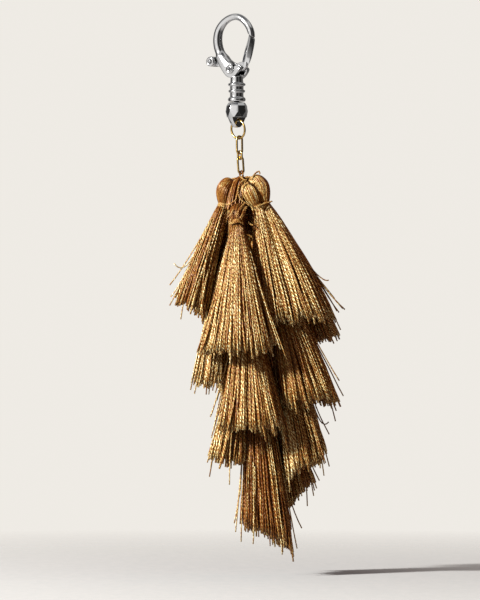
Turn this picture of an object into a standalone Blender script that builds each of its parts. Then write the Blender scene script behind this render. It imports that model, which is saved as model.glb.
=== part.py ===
"""Silk tassel charm: seventeen small tassels in five tiers on a cord, below a chain and a swivel snap hook.

Metres, +Z up. The origin is where the hook's bow bears on whatever it is clipped to, on the inside of
the top of its eye. -Y is the front. The hook's flat plane is turned about the swivel axis, so its right
side comes towards the front. Sizes below are in millimetres and MM turns them into metres.
"""

import math
from typing import NamedTuple

import bmesh
import bpy
import numpy as np
from mathutils import Matrix, Vector

MM = 0.001
GAP = 0.3
"""Clearance between neighbouring hard pieces."""
SOFT_GAP = 0.45
"""Clearance left round what a tassel or its thread lies against."""
CUTTER_HALF = 5.0
"""Half the length of a cutter that goes right through the hook's plane."""

# Snap hook, in its own plane: u runs across it and z up it, from the swivel axis and the bearing point.
HOOK_TURN = math.radians(35.0)
STEM_AXIS = Vector((0.70, -0.49, 0.0))
BOW = (
    # u, z, wire radius
    (7.20, -8.0, 1.40),
    (6.96, -5.2, 1.40),
    (5.98, -3.0, 1.40),
    (4.27, -0.9, 1.38),
    (1.83, 0.75, 1.34),
    (-0.85, 1.30, 1.30),
    (-3.80, 0.65, 1.35),
    (-6.50, -1.1, 1.50),
    (-8.50, -3.8, 1.70),
    (-9.30, -7.0, 1.85),
    (-9.00, -10.4, 1.90),
    (-7.70, -13.6, 1.90),
    (-5.70, -16.6, 1.80),
    (-3.50, -19.2, 1.50),
)
EAR = (
    # u, z of the cheek plate's outline, from its left shoulder round below the rivet
    (-8.5, -14.6),
    (-7.2, -17.4),
    (-5.0, -20.6),
    (-3.2, -22.7),
    (-1.3, -23.6),
    (1.2, -23.5),
    (2.8, -22.4),
    (4.1, -20.7),
    (4.3, -19.4),
    (2.8, -18.5),
    (0.4, -17.7),
    (-2.0, -17.0),
    (-3.9, -16.0),
    (-5.6, -14.3),
)
EAR_THICK = 1.2
SLOT = (
    # u, z of the slot between the two cheeks, in which the lever swings
    (-12.5, -14.6),
    (-7.5, -15.9),
    (-3.5, -16.9),
    (0.0, -16.6),
    (8.0, -15.2),
    (8.0, -22.0),
    (-12.5, -22.0),
)
SLOT_WIDE = 2.2

RIVET = (-1.37, -19.7)
RIVET_RADIUS = 0.80
RIVET_HOLE = RIVET_RADIUS + GAP
RIVET_HEAD = 2.1
RIVET_HEAD_THICK = 0.55
RIVET_EDGE = 0.3
RIVET_DIMPLE = 0.7
RIVET_DIMPLE_DEEP = 0.25

STEM = (
    # radius, z down the turned neck and its three collars
    (0.0, -22.1),
    (2.40, -22.1),
    (2.45, -24.6),
    (3.35, -24.9),
    (3.60, -25.8),
    (3.35, -26.6),
    (2.75, -27.0),
    (2.75, -27.7),
    (3.40, -27.9),
    (3.55, -28.6),
    (3.40, -29.3),
    (2.75, -29.6),
    (2.75, -30.4),
    (3.35, -30.7),
    (3.60, -31.5),
    (3.35, -32.3),
    (2.90, -32.6),
    (1.10, -32.6),
    (1.10, -35.4),
    (1.90, -35.4),
    (1.90, -36.4),
    (0.0, -36.4),
)
STEM_STEPS = 16

# Gate lever: its plate swings in the slot, its arm closes the eye and its peg is pushed by the thumb.
GATE_REACH = 15.5
"""From the rivet to the arm's end, which is cut as an arc about the rivet."""
MOUTH_GAP = 0.35
MOUTH_INNER = 12.0
MOUTH_SWEEP = (30.0, 78.0)
"""Degrees above level, about the rivet, between which the bow and the arm are cut to meet."""
ARM_SPARE = 6.0
LEVER = (
    (-11.2, -15.4),
    (-8.0, -16.6),
    (-4.5, -17.8),
    (-2.2, -17.7),
    (0.2, -17.6),
    (2.4, -16.9),
    (5.1, -17.2),
    (5.0, -18.8),
    (3.6, -20.0),
    (1.5, -20.9),
    (-0.5, -21.5),
    (-2.2, -21.5),
    (-4.5, -20.3),
    (-8.0, -18.6),
    (-11.2, -17.4),
)
LEVER_THICK = 1.6
GATE_ARM = (
    # u, z, half width, half depth
    (3.4, -19.2, 1.1, 0.75),
    (4.1, -17.4, 1.5, 0.80),
    (5.0, -15.0, 1.7, 1.30),
    (5.9, -12.0, 1.75, 1.50),
    (6.8, -9.4, 1.7, 1.50),
    (7.5, -6.2, 1.55, 1.40),
    (7.8, -4.6, 1.5, 1.40),
)
ARM_SECTION = (
    # share of the half width, share of the half depth: a ridge down the front and the back
    (1.0, -0.4),
    (0.0, -1.0),
    (-1.0, -0.4),
    (-1.0, 0.4),
    (0.0, 1.0),
    (1.0, 0.4),
)
THUMB_PEG = (-11.2, -16.4)
PEG_RADIUS = 2.0
PEG_LONG = 6.0
PEG_EDGE = 0.5
PEG_DIMPLE = 0.9
PEG_STEPS = 18

# Swivel barrel: eight flat sides round the stem's foot, with a flat eye for the ring below.
BARREL = (
    # radius, z: up the inside of the socket, then down the outside
    (0.0, -36.8),
    (2.50, -36.8),
    (2.50, -35.0),
    (1.60, -35.0),
    (1.60, -32.9),
    (3.10, -32.9),
    (3.70, -33.4),
    (4.30, -35.0),
    (4.50, -36.4),
    (4.35, -37.9),
    (3.90, -39.4),
    (3.20, -40.8),
    (2.40, -41.9),
    (1.30, -42.8),
    (0.0, -43.1),
)
BARREL_SIDES = 8
BARREL_TURN = math.radians(7.5)
EYE_HALF = 1.2
EYE_TOP = -38.9
EYE_LOW = -45.0
EYE_HOLE = 1.0
EYE_CUTTER = (8.0, 16.0)
"""Thickness and width of each block that flattens one side of the eye."""

# Ring and chain. Each wire crosses the next with the gap between them.
RING_TURN = math.radians(-45.0)
WIRE = 0.32
CORD = 0.40
RING_RADIUS = 3.75
RING_TOP = (0.70, -39.95)
RING_LOW = (1.75, -47.45)
CHAIN_Y = -0.49
LINKS = (
    # name, top x, top z, bottom x, bottom z, half width, turn in degrees
    ("chain_link_upper", 1.75, -46.53, 1.85, -53.44, 1.28, 35.0),
    ("chain_link_middle", 1.85, -52.50, 2.05, -55.66, 1.08, -45.0),
    ("chain_link_lower", 2.05, -54.72, 2.50, -61.40, 1.28, 35.0),
)

# Hanging cord: a loop through the last link, a knot, and the cord down through the tiers.
CORD_LOOP = (2.52, -60.36, 2.60, -62.9, 0.95, -50.0)
KNOT = (2.6, -0.4, -63.4)
KNOT_RADIUS = (1.55, 1.45, 1.3)
KNOT_SEGMENTS = (10, 6)
CORE_RADIUS = 0.9
CORE = (
    # x, y, z
    (2.6, -0.4, -63.4),
    (3.2, 0.0, -75.0),
    (3.8, 0.0, -88.0),
    (5.2, 0.2, -102.0),
    (6.6, 0.3, -115.0),
    (8.2, 0.3, -130.0),
    (9.5, 0.9, -144.0),
)
TIE_RADIUS = 0.4
TIE_GAP = 0.75
"""From a tie's end to the crown of its tassel."""
TIE_RISE = 1.2
"""How far above its end a tie leaves the cord."""
TIE_LOWEST = 1.5
"""How far above the cord's end the lowest ties leave it."""

# Tassels. Each has a round head, a waist bound with thread, and a skirt of cut strands.
HEAD_RADIUS = 3.5
WAIST_RADIUS = 2.0
HEAD_SHAPE = (
    # share of the way from crown to waist, share of the head's radius
    (0.0, 0.40),
    (0.10, 0.78),
    (0.36, 1.0),
    (0.78, 0.88),
)
SKIRT_STEPS = (0.0, 0.2, 0.5, 0.8, 1.0)
SKIRT_BOW = 0.05
SIDES = 12
FLUTE = 0.07
"""How far the skirt's folds stand out, as a share of its half width."""
FLUTES = ((3, 1.0, 0.6), (5, 2.3, 0.4))
"""Waves round a skirt: how many, their turn from one tassel to the next, and their weight."""
RAGGED = 1.1
"""How far the folds' ends hang below the middle of the cut end."""


class Tassel(NamedTuple):
    """Crown, waist and middle of the cut end in millimetres, and the skirt's half width and depth there.

    A flare under 1 opens early. slant is how far the cut end drops from its left side to its right.
    """

    name: str
    crown: tuple
    waist: tuple
    end: tuple
    half_wide: float
    half_deep: float
    flare: float
    slant: float


TASSEL_ROWS = (
    # From the lowest, which are whole, up to the outermost, which are hollowed by what they cover.
    ("fifth_front", (8.8, -1.9, -142.5), (8.8, -4.8, -152.5), (12.3, -7.0, -205.4), 10.4, 7.5, 0.55, 12.0),
    ("fifth_right", (13.0, 1.6, -138.5), (16.3, 2.2, -148.5), (26.4, 3.0, -189.6), 7.5, 7.0, 0.7, -4.0),
    ("fifth_back", (10.4, 3.6, -148.5), (10.8, 7.0, -159.5), (13.5, 10.0, -204.0), 9.0, 6.5, 0.7, 0.0),
    ("fourth_left", (6.2, -2.3, -124.0), (4.0, -4.5, -134.0), (-4.0, -6.0, -177.4), 7.4, 8.0, 0.8, 0.0),
    ("fourth_right", (11.6, 1.0, -121.0), (15.0, 0.5, -131.0), (28.8, -3.0, -179.0), 9.0, 8.5, 0.8, -3.0),
    ("third_front", (4.7, -3.0, -102.0), (4.4, -7.0, -112.8), (6.2, -16.0, -164.2), 14.0, 7.0, 0.8, 0.0),
    ("third_back", (6.4, 3.2, -108.0), (6.0, 8.0, -119.0), (8.0, 15.5, -170.0), 12.0, 7.5, 0.8, 0.0),
    ("second_left", (-0.4, -1.6, -76.5), (-3.2, -3.5, -87.0), (-10.0, -7.0, -147.6), 8.2, 9.0, 0.8, 2.0),
    ("second_right", (9.0, 0.8, -87.0), (13.2, 0.0, -96.8), (30.4, -3.5, -152.0), 11.4, 9.5, 0.85, 2.0),
    ("second_back", (4.4, 3.2, -84.0), (4.0, 8.0, -95.0), (7.0, 17.5, -148.0), 14.0, 8.0, 0.85, 0.0),
    ("front_middle", (2.8, -5.0, -71.6), (0.5, -9.3, -81.0), (2.4, -19.0, -133.4), 16.6, 6.5, 0.9, -2.0),
    ("upper_left", (-3.8, 0.2, -62.6), (-5.0, -0.5, -74.2), (-18.3, -3.0, -115.2), 8.2, 9.0, 0.85, 3.0),
    ("upper_right", (10.4, -0.9, -61.2), (11.2, -2.5, -74.0), (29.4, -5.0, -117.4), 11.0, 9.0, 0.9, 4.0),
    ("upper_centre", (3.9, -4.2, -64.4), (7.2, -6.5, -74.6), (14.8, -12.0, -122.6), 8.0, 6.0, 0.9, 0.0),
    ("upper_back", (4.6, 3.6, -62.6), (4.6, 8.0, -74.5), (8.0, 16.5, -119.0), 12.0, 7.5, 0.9, 0.0),
    ("back_left", (-1.6, 5.6, -65.0), (-3.4, 9.0, -76.0), (-11.4, 11.0, -118.2), 8.5, 7.0, 0.9, 0.0),
    ("back_right", (11.8, 4.8, -65.5), (13.6, 8.4, -76.5), (30.4, 8.0, -129.0), 10.0, 8.0, 0.9, 2.0),
)
TASSELS = tuple(Tassel(*row) for row in TASSEL_ROWS)

BAND_HIGH = 1.5
BAND_SINK = 0.45
"""How far the thread is drawn into the waist."""
BAND_THICK = 0.85
BAND_FLAT = 0.55
"""Share of the binding's height that is full thickness."""
BAND_SIDES = 10

GOLD_SILK = (0.50, 0.31, 0.12)
BRASS = (0.55, 0.36, 0.12)
CHROME = (0.62, 0.63, 0.65)


def clear_scene() -> None:
    """Remove every object that the scene holds."""
    for found in list(bpy.data.objects):
        bpy.data.objects.remove(found, do_unlink=True)


def make_collection(name: str) -> bpy.types.Collection:
    """Add a collection to the scene."""
    made = bpy.data.collections.new(name)
    bpy.context.scene.collection.children.link(made)
    return made


def make_material(name: str, colour: tuple, roughness: float, metallic: float) -> bpy.types.Material:
    """Return a plain Principled material."""
    made = bpy.data.materials.new(name)
    made.use_nodes = True
    shader = made.node_tree.nodes["Principled BSDF"]
    shader.inputs["Base Color"].default_value = (*colour, 1.0)
    shader.inputs["Roughness"].default_value = roughness
    shader.inputs["Metallic"].default_value = metallic
    made.diffuse_color = (*colour, 1.0)
    return made


def add_object(name: str, data: bpy.types.ID, collection: bpy.types.Collection) -> bpy.types.Object:
    """Put a mesh or a curve in a collection as a new object."""
    made = bpy.data.objects.new(name, data)
    collection.objects.link(made)
    return made


def as_mesh(obj: bpy.types.Object) -> bpy.types.Object:
    """Replace an object by the closed mesh that its curve or its modifiers make, in its own place."""
    bpy.context.view_layer.update()
    graph = bpy.context.evaluated_depsgraph_get()
    mesh = bpy.data.meshes.new_from_object(obj.evaluated_get(graph))
    name = obj.name
    place = obj.matrix_world.copy()
    collection = obj.users_collection[0]
    bpy.data.objects.remove(obj, do_unlink=True)
    shape = bmesh.new()
    shape.from_mesh(mesh)
    bmesh.ops.remove_doubles(shape, verts=shape.verts, dist=0.002 * MM)
    shape.to_mesh(mesh)
    shape.free()
    made = add_object(name, mesh, collection)
    made.matrix_world = place
    return made


def smooth_through(rows: tuple, samples: int, closed: bool = False) -> np.ndarray:
    """Return points on a smooth curve through the rows, with this many samples to each span."""
    knots = np.array(rows, float)
    count = len(knots)
    spans = count if closed else count - 1
    share = np.linspace(0.0, 1.0, samples, endpoint=False)[:, None]
    runs = []
    for start in range(spans):
        around = [start - 1, start, start + 1, start + 2]
        if closed:
            before, here, there, after = (knots[i % count] for i in around)
        else:
            before, here, there, after = (knots[min(max(i, 0), count - 1)] for i in around)
        runs.append(
            here
            + 0.5 * share * (there - before)
            + share**2 * (before - 2.5 * here + 2 * there - 0.5 * after)
            + share**3 * (-0.5 * before + 1.5 * here - 1.5 * there + 0.5 * after)
        )
    points = np.concatenate(runs)
    return points if closed else np.vstack([points, knots[-1:]])


def tube(name, points, radii, collection, closed=False, roundness=2) -> bpy.types.Object:
    """Return a round bar along points in millimetres, with a radius at each point."""
    curve = bpy.data.curves.new(name, "CURVE")
    curve.dimensions = "3D"
    curve.bevel_depth = MM
    curve.bevel_resolution = roundness
    curve.use_fill_caps = not closed
    spline = curve.splines.new("POLY")
    spline.points.add(len(points) - 1)
    spline.use_cyclic_u = closed
    for knot, place, radius in zip(spline.points, points, radii):
        knot.co = (*(Vector(place) * MM), 1.0)
        knot.radius = float(radius)
    return as_mesh(add_object(name, curve, collection))


def plate(name, outline, thick, collection, samples=3) -> bpy.types.Object:
    """Return a flat plate of a smooth outline in u and z, standing in the XZ plane and centred on y = 0."""
    curve = bpy.data.curves.new(name, "CURVE")
    curve.dimensions = "2D"
    curve.fill_mode = "BOTH"
    curve.extrude = thick * MM / 2
    points = smooth_through(outline, samples, closed=True) if samples > 1 else np.array(outline)
    spline = curve.splines.new("POLY")
    spline.points.add(len(points) - 1)
    spline.use_cyclic_u = True
    for knot, (across, up) in zip(spline.points, points):
        knot.co = (across * MM, up * MM, 0.0, 1.0)
    made = as_mesh(add_object(name, curve, collection))
    made.data.transform(Matrix.Rotation(math.radians(90.0), 4, "X"))
    face_out(made)
    return made


def face_out(obj: bpy.types.Object) -> None:
    """Turn every face of a closed mesh outwards."""
    shape = bmesh.new()
    shape.from_mesh(obj.data)
    bmesh.ops.recalc_face_normals(shape, faces=shape.faces)
    shape.to_mesh(obj.data)
    shape.free()


def turned(name, profile, steps, collection) -> bpy.types.Object:
    """Return a profile of radius and z in millimetres, turned about the z axis."""
    mesh = bpy.data.meshes.new(name)
    edges = [(i, i + 1) for i in range(len(profile) - 1)]
    mesh.from_pydata([(radius * MM, 0.0, up * MM) for radius, up in profile], edges, [])
    made = add_object(name, mesh, collection)
    screw = made.modifiers.new("turn", "SCREW")
    screw.steps = steps
    screw.render_steps = steps
    screw.use_merge_vertices = True
    screw.merge_threshold = 0.01 * MM
    made = as_mesh(made)
    face_out(made)
    return made


def loft(name, rings, collection) -> bpy.types.Object:
    """Return the closed skin over rings of points in millimetres, each with the same number of points."""
    count, sides, _ = rings.shape
    mesh = bpy.data.meshes.new(name)
    corner = np.arange(count * sides).reshape(count, sides)
    after = np.roll(corner, -1, axis=1)
    walls = np.stack([corner[:-1], after[:-1], after[1:], corner[1:]], axis=-1).reshape(-1, 4)
    first = rings[0].mean(axis=0)
    last = rings[-1].mean(axis=0)
    points = np.vstack([rings.reshape(-1, 3), first, last]) * MM
    caps = [(count * sides, after[0, i], corner[0, i]) for i in range(sides)]
    caps += [(count * sides + 1, corner[-1, i], after[-1, i]) for i in range(sides)]
    mesh.from_pydata(points.tolist(), [], walls.tolist() + caps)
    made = add_object(name, mesh, collection)
    face_out(made)
    return made


def combine(base, other, operation) -> bpy.types.Object:
    """Join another solid to a base, or cut it from the base, and remove the other."""
    joint = base.modifiers.new(operation.lower(), "BOOLEAN")
    joint.operation = operation
    joint.solver = "EXACT"
    joint.object = other
    made = as_mesh(base)
    bpy.data.objects.remove(other, do_unlink=True)
    return made


def keep_largest(obj: bpy.types.Object) -> None:
    """Drop the slivers that a cut leaves loose beside the main body."""
    shape = bmesh.new()
    shape.from_mesh(obj.data)
    left = set(shape.verts)
    islands = []
    while left:
        front = [left.pop()]
        island = set(front)
        while front:
            for edge in front.pop().link_edges:
                for vert in edge.verts:
                    if vert in left:
                        left.discard(vert)
                        island.add(vert)
                        front.append(vert)
        islands.append(island)
    islands.sort(key=len)
    for island in islands[:-1]:
        bmesh.ops.delete(shape, geom=list(island), context="VERTS")
    shape.to_mesh(obj.data)
    shape.free()


def finish(obj, material, smooth_angle=40.0) -> None:
    """Give an object its material, and shade its round faces smooth."""
    obj.data.materials.clear()
    obj.data.materials.append(material)
    obj.data.shade_smooth()
    obj.data.set_sharp_from_angle(angle=math.radians(smooth_angle))


def arc_plate(name, inner, outer, collection) -> bpy.types.Object:
    """Return a plate between two arcs about the rivet, over the part of the eye where the gate closes."""
    low, high = (math.radians(angle) for angle in MOUTH_SWEEP)
    sweep = np.linspace(low, high, 25)
    arcs = [(outer, sweep), (inner, sweep[::-1])]
    outline = [
        (RIVET[0] + reach * math.cos(angle), RIVET[1] + reach * math.sin(angle))
        for reach, angles in arcs
        for angle in angles
    ]
    return plate(name, outline, 2 * CUTTER_HALF, collection, samples=1)


def across(name, half_profile, place, steps, collection) -> bpy.types.Object:
    """Return a turned piece that lies across the hook's plane at a u and z, alike on both sides of it.

    half_profile runs from the middle of the outer face to the plane, as radius and distance from the plane.
    """
    profile = tuple(half_profile) + tuple((radius, -out) for radius, out in reversed(half_profile))
    made = turned(name, profile, steps, collection)
    made.data.transform(Matrix.Rotation(math.radians(90.0), 4, "X"))
    made.data.transform(Matrix.Translation(Vector((place[0], 0.0, place[1])) * MM))
    return made


def bore_cutter(name, collection) -> bpy.types.Object:
    """Return the round bar that cuts the rivet's hole."""
    half = ((0.0, CUTTER_HALF), (RIVET_HOLE, CUTTER_HALF))
    return across(name, half, RIVET, STEM_STEPS, collection)


def stand_in_hook(obj: bpy.types.Object) -> None:
    """Turn an object from the hook's own plane to its place about the swivel axis."""
    obj.location = STEM_AXIS * MM
    obj.rotation_euler = (0.0, 0.0, -HOOK_TURN)


def hook_body(parts, chrome) -> None:
    """Bow, two cheeks with the slot between them, and the turned stem, in one casting."""
    path = smooth_through(BOW, 2)
    body = tube("hook_body", [(u, 0.0, z) for u, z, _ in path], path[:, 2], parts, roundness=3)
    cheeks = plate("cheeks", EAR, 2 * EAR_THICK + SLOT_WIDE, parts)
    body = combine(body, cheeks, "UNION")
    body = combine(body, plate("slot", SLOT, SLOT_WIDE, parts, samples=1), "DIFFERENCE")
    body = combine(body, turned("stem", STEM, STEM_STEPS, parts), "UNION")
    body = combine(body, bore_cutter("rivet_hole", parts), "DIFFERENCE")
    mouth = arc_plate("mouth", MOUTH_INNER, GATE_REACH + MOUTH_GAP, parts)
    body = combine(body, mouth, "DIFFERENCE")
    stand_in_hook(body)
    finish(body, chrome)


def gate_rivet(parts, chrome) -> None:
    """Rivet through both cheeks, with a dimpled head on each side."""
    face = EAR_THICK + SLOT_WIDE / 2 + GAP
    top = face + RIVET_HEAD_THICK
    half = (
        (0.0, top - RIVET_DIMPLE_DEEP),
        (RIVET_DIMPLE - RIVET_DIMPLE_DEEP, top - RIVET_DIMPLE_DEEP),
        (RIVET_DIMPLE, top),
        (RIVET_HEAD - RIVET_EDGE, top),
        (RIVET_HEAD, top - RIVET_EDGE),
        (RIVET_HEAD, face),
        (RIVET_RADIUS, face),
    )
    rivet = across("gate_rivet", half, RIVET, STEM_STEPS, parts)
    stand_in_hook(rivet)
    finish(rivet, chrome)


def gate_lever(parts, chrome) -> None:
    """Lever plate, the ridged arm that closes the eye, and the dimpled thumb peg."""
    lever = plate("gate_lever", LEVER, LEVER_THICK, parts)
    ridge = np.array(ARM_SECTION)
    rows = np.array(GATE_ARM)
    run = np.gradient(rows[:, :2], axis=0)
    run /= np.linalg.norm(run, axis=1, keepdims=True)
    side = np.stack([run[:, 1], np.zeros(len(rows)), -run[:, 0]], axis=1)
    centre = np.stack([rows[:, 0], np.zeros(len(rows)), rows[:, 1]], axis=1)
    rings = (
        centre[:, None, :]
        + side[:, None, :] * ridge[None, :, :1] * rows[:, 2, None, None]
        + np.array([0.0, 1.0, 0.0]) * ridge[None, :, 1:] * rows[:, 3, None, None]
    )
    lever = combine(lever, loft("arm", rings, parts), "UNION")
    half = PEG_LONG / 2
    rim = (
        (0.0, half - PEG_EDGE),
        (PEG_DIMPLE, half - PEG_EDGE),
        (PEG_DIMPLE, half),
        (PEG_RADIUS - PEG_EDGE, half),
        (PEG_RADIUS, half - PEG_EDGE),
    )
    lever = combine(lever, across("peg", rim, THUMB_PEG, PEG_STEPS, parts), "UNION")
    lever = combine(lever, bore_cutter("bore", parts), "DIFFERENCE")
    arm_end = arc_plate("arm_end", GATE_REACH, GATE_REACH + ARM_SPARE, parts)
    lever = combine(lever, arm_end, "DIFFERENCE")
    pivot = Vector((RIVET[0], 0.0, RIVET[1])) * MM
    lever.data.transform(Matrix.Translation(-pivot))
    lever.rotation_euler = (0.0, 0.0, -HOOK_TURN)
    lever.location = STEM_AXIS * MM + Matrix.Rotation(-HOOK_TURN, 3, "Z") @ pivot
    finish(lever, chrome)


def swivel_barrel(parts, chrome) -> None:
    """Eight-sided barrel that turns on the stem's foot, flattened below into an eye."""
    barrel = turned("swivel_barrel", BARREL, BARREL_SIDES, parts)
    barrel.data.transform(Matrix.Rotation(BARREL_TURN, 4, "Z"))
    thick, wide = EYE_CUTTER
    high = EYE_TOP - EYE_LOW
    for side in (-1.0, 1.0):
        block = bpy.data.meshes.new("flat")
        shape = bmesh.new()
        bmesh.ops.create_cube(shape, size=1.0)
        bmesh.ops.scale(shape, vec=Vector((thick, wide, high)) * MM, verts=shape.verts)
        middle = Vector((side * (EYE_HALF + thick / 2), 0.0, (EYE_TOP + EYE_LOW) / 2)) * MM
        bmesh.ops.translate(shape, vec=middle, verts=shape.verts)
        shape.to_mesh(block)
        shape.free()
        block.transform(Matrix.Rotation(RING_TURN, 4, "Z"))
        barrel = combine(barrel, add_object("flat", block, parts), "DIFFERENCE")
    half = CUTTER_HALF
    bar = ((0.0, half), (EYE_HOLE, half), (EYE_HOLE, -half), (0.0, -half))
    hole = turned("hole", bar, 12, parts)
    hole.data.transform(Matrix.Rotation(math.radians(90.0), 4, "Y"))
    hole.data.transform(Matrix.Rotation(RING_TURN, 4, "Z"))
    hole.data.transform(Matrix.Translation(Vector((0.0, 0.0, RING_TOP[1])) * MM))
    barrel = combine(barrel, hole, "DIFFERENCE")
    barrel.location = STEM_AXIS * MM
    finish(barrel, chrome, smooth_angle=12.0)


def wire_loop(name, top, low, half_wide, turn, radius, parts, steps=8) -> bpy.types.Object:
    """Return a closed wire link between two wire centres, each x and z, with round ends."""
    low_point = Vector((low[0], CHAIN_Y, low[1]))
    rise = Vector((top[0], CHAIN_Y, top[1])) - low_point
    up = rise.normalized()
    across = (Matrix.Rotation(turn, 3, "Z") @ Vector((1.0, 0.0, 0.0))).normalized()
    across = (across - up * across.dot(up)).normalized()
    points = []
    for centre, start in ((half_wide, math.pi), (rise.length - half_wide, 0.0)):
        for step in range(steps + 1):
            angle = start + math.pi * step / steps
            reach = across * math.cos(angle) + up * math.sin(angle)
            points.append(low_point + up * centre + reach * half_wide)
    return tube(name, points, [radius] * len(points), parts, closed=True)


def ring_and_chain(parts, brass) -> None:
    """Round jump ring in the barrel's eye, then two long links with a short one between them."""
    ring = wire_loop("jump_ring", RING_TOP, RING_LOW, RING_RADIUS, RING_TURN, WIRE, parts, steps=14)
    finish(ring, brass)
    for name, top_x, top_z, low_x, low_z, half_wide, turn in LINKS:
        ends = ((top_x, top_z), (low_x, low_z))
        finish(wire_loop(name, *ends, half_wide, math.radians(turn), WIRE, parts), brass)


def cord_pieces(parts, grow=0.0) -> list:
    """The hanging cord's loop, knot, core and the ties to each tassel's crown, as separate solids.

    grow makes each of them larger all round, for cutting its room out of a tassel.
    """
    top_x, top_z, low_x, low_z, half_wide, turn = CORD_LOOP
    ends = ((top_x, top_z), (low_x, low_z))
    pieces = [wire_loop("loop", *ends, half_wide, math.radians(turn), CORD + grow, parts, steps=6)]
    mesh = bpy.data.meshes.new("knot")
    shape = bmesh.new()
    around, down = KNOT_SEGMENTS
    bmesh.ops.create_uvsphere(shape, u_segments=around, v_segments=down, radius=1.0)
    bmesh.ops.scale(shape, vec=Vector(radius + grow for radius in KNOT_RADIUS) * MM, verts=shape.verts)
    bmesh.ops.translate(shape, vec=Vector(KNOT) * MM, verts=shape.verts)
    shape.to_mesh(mesh)
    shape.free()
    pieces.append(add_object("knot", mesh, parts))
    core = smooth_through(CORE, 3)
    core[-1, 2] -= grow
    pieces.append(tube("core", core, [CORE_RADIUS + grow] * len(core), parts, roundness=1))
    depths = [-z for _, _, z in CORE]
    for tassel in TASSELS:
        crown = Vector(tassel.crown)
        rise = (crown - Vector(tassel.waist)).normalized()
        above = crown + rise * TIE_GAP
        level = min(max(above.z + TIE_RISE, CORE[-1][2] + TIE_LOWEST), CORE[0][2])
        root = Vector(np.interp(-level, depths, [row[axis] for row in CORE]) for axis in (0, 1, 2))
        points = [root, above + (above - root).normalized() * grow]
        pieces.append(tube("tie", points, [TIE_RADIUS + grow] * 2, parts, roundness=0))
    return pieces


def hanging_cord(parts, silk) -> None:
    """One cord: loop, knot, core and ties together."""
    pieces = cord_pieces(parts)
    cord = pieces[0]
    cord.name = "hanging_cord"
    for piece in pieces[1:]:
        cord = combine(cord, piece, "UNION")
    finish(cord, silk)


def tassel_rings(tassel: Tassel, seed: int, grow: float) -> np.ndarray:
    """Rings of the tassel's skin from crown to cut end: a round head, a waist, then a flared, fluted skirt.

    seed sets where the folds fall, and grow stands the skin that far off, for cutting its room elsewhere.
    """
    crown, waist, end = (np.array(place) for place in (tassel.crown, tassel.waist, tassel.end))
    angle = np.linspace(0.0, 2 * math.pi, SIDES, endpoint=False)
    out_u, out_v = np.cos(angle), np.sin(angle)
    flute = sum(weight * np.sin(waves * angle + turn * seed) for waves, turn, weight in FLUTES)
    front = np.array([0.0, 1.0, 0.0])

    def ring(centre, run, half_u, half_v, fluting, drop):
        run = run / np.linalg.norm(run)
        side = np.cross(front, run)
        side /= -np.linalg.norm(side)
        deep = np.cross(run, side)
        swell = 1.0 + fluting * flute
        reach_u = ((half_u + grow) * swell * out_u)[:, None] * side
        reach_v = ((half_v + grow) * swell * out_v)[:, None] * deep
        return centre + reach_u + reach_v + drop[:, None] * run

    rings = []
    level = np.zeros(SIDES)
    down = waist - crown
    for share, size in HEAD_SHAPE:
        radius = HEAD_RADIUS * size
        start = -grow if share == 0.0 else 0.0
        rings.append(ring(crown + down * share, down, radius, radius, 0.0, level + start))
    skirt = end - waist
    bow = np.array([skirt[0], skirt[1], 0.0]) * SKIRT_BOW
    for share in SKIRT_STEPS:
        wide = share**tassel.flare
        centre = waist + skirt * share + bow * 4 * share * (1 - share)
        half_u = WAIST_RADIUS + (tassel.half_wide - WAIST_RADIUS) * wide
        half_v = WAIST_RADIUS + (tassel.half_deep - WAIST_RADIUS) * wide
        drop = level
        if share == 1.0:
            drop = RAGGED * flute + tassel.slant * out_u / 2 + grow
        run = skirt + bow * 4 * (1 - 2 * share)
        rings.append(ring(centre, run, half_u, half_v, FLUTE * share, drop))
    return np.array(rings)


def band(name, tassel: Tassel, grow, parts) -> bpy.types.Object:
    """Thread binding drawn tight round a tassel's waist."""
    inner = WAIST_RADIUS - BAND_SINK - grow
    outer = WAIST_RADIUS - BAND_SINK + BAND_THICK + grow
    half = BAND_HIGH / 2 + grow
    profile = (
        (inner, -half),
        (inner, half),
        (outer, half * BAND_FLAT),
        (outer, -half * BAND_FLAT),
        (inner, -half),
    )
    made = turned(name, profile, BAND_SIDES, parts)
    run = (Vector(tassel.end) - Vector(tassel.waist)).normalized()
    down = (Vector(tassel.waist) - Vector(tassel.crown)).normalized()
    axis = -(run + down).normalized()
    made.data.transform(axis.to_track_quat("Z", "Y").to_matrix().to_4x4())
    made.data.transform(Matrix.Translation(Vector(tassel.waist) * MM))
    return made


def boxes_meet(first, second) -> bool:
    """Whether two objects' bounding boxes touch."""
    low_a, low_b = (np.array([v.co for v in obj.data.vertices]).min(axis=0) for obj in (first, second))
    high_a, high_b = (np.array([v.co for v in obj.data.vertices]).max(axis=0) for obj in (first, second))
    return bool((low_a < high_b).all() and (low_b < high_a).all())


def cut_if_near(base, cutter) -> bpy.types.Object:
    """Cut one solid from another where their boxes meet, and remove the cutter."""
    if boxes_meet(base, cutter):
        return combine(base, cutter, "DIFFERENCE")
    bpy.data.objects.remove(cutter, do_unlink=True)
    return base


def tassels(parts, silk) -> None:
    """Every tassel, hollowed where it covers the cord, a binding or a tassel listed before it."""
    for index, tassel in enumerate(TASSELS):
        body = loft(f"tassel_{tassel.name}", tassel_rings(tassel, index, 0.0), parts)
        for other, lower in enumerate(TASSELS[:index]):
            body = cut_if_near(body, loft("clear", tassel_rings(lower, other, SOFT_GAP), parts))
        for other in TASSELS:
            if other is not tassel:
                body = cut_if_near(body, band("clear", other, SOFT_GAP, parts))
        for piece in cord_pieces(parts, SOFT_GAP):
            body = cut_if_near(body, piece)
        body = combine(body, band("groove", tassel, SOFT_GAP, parts), "DIFFERENCE")
        keep_largest(body)
        finish(body, silk, smooth_angle=60.0)


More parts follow.
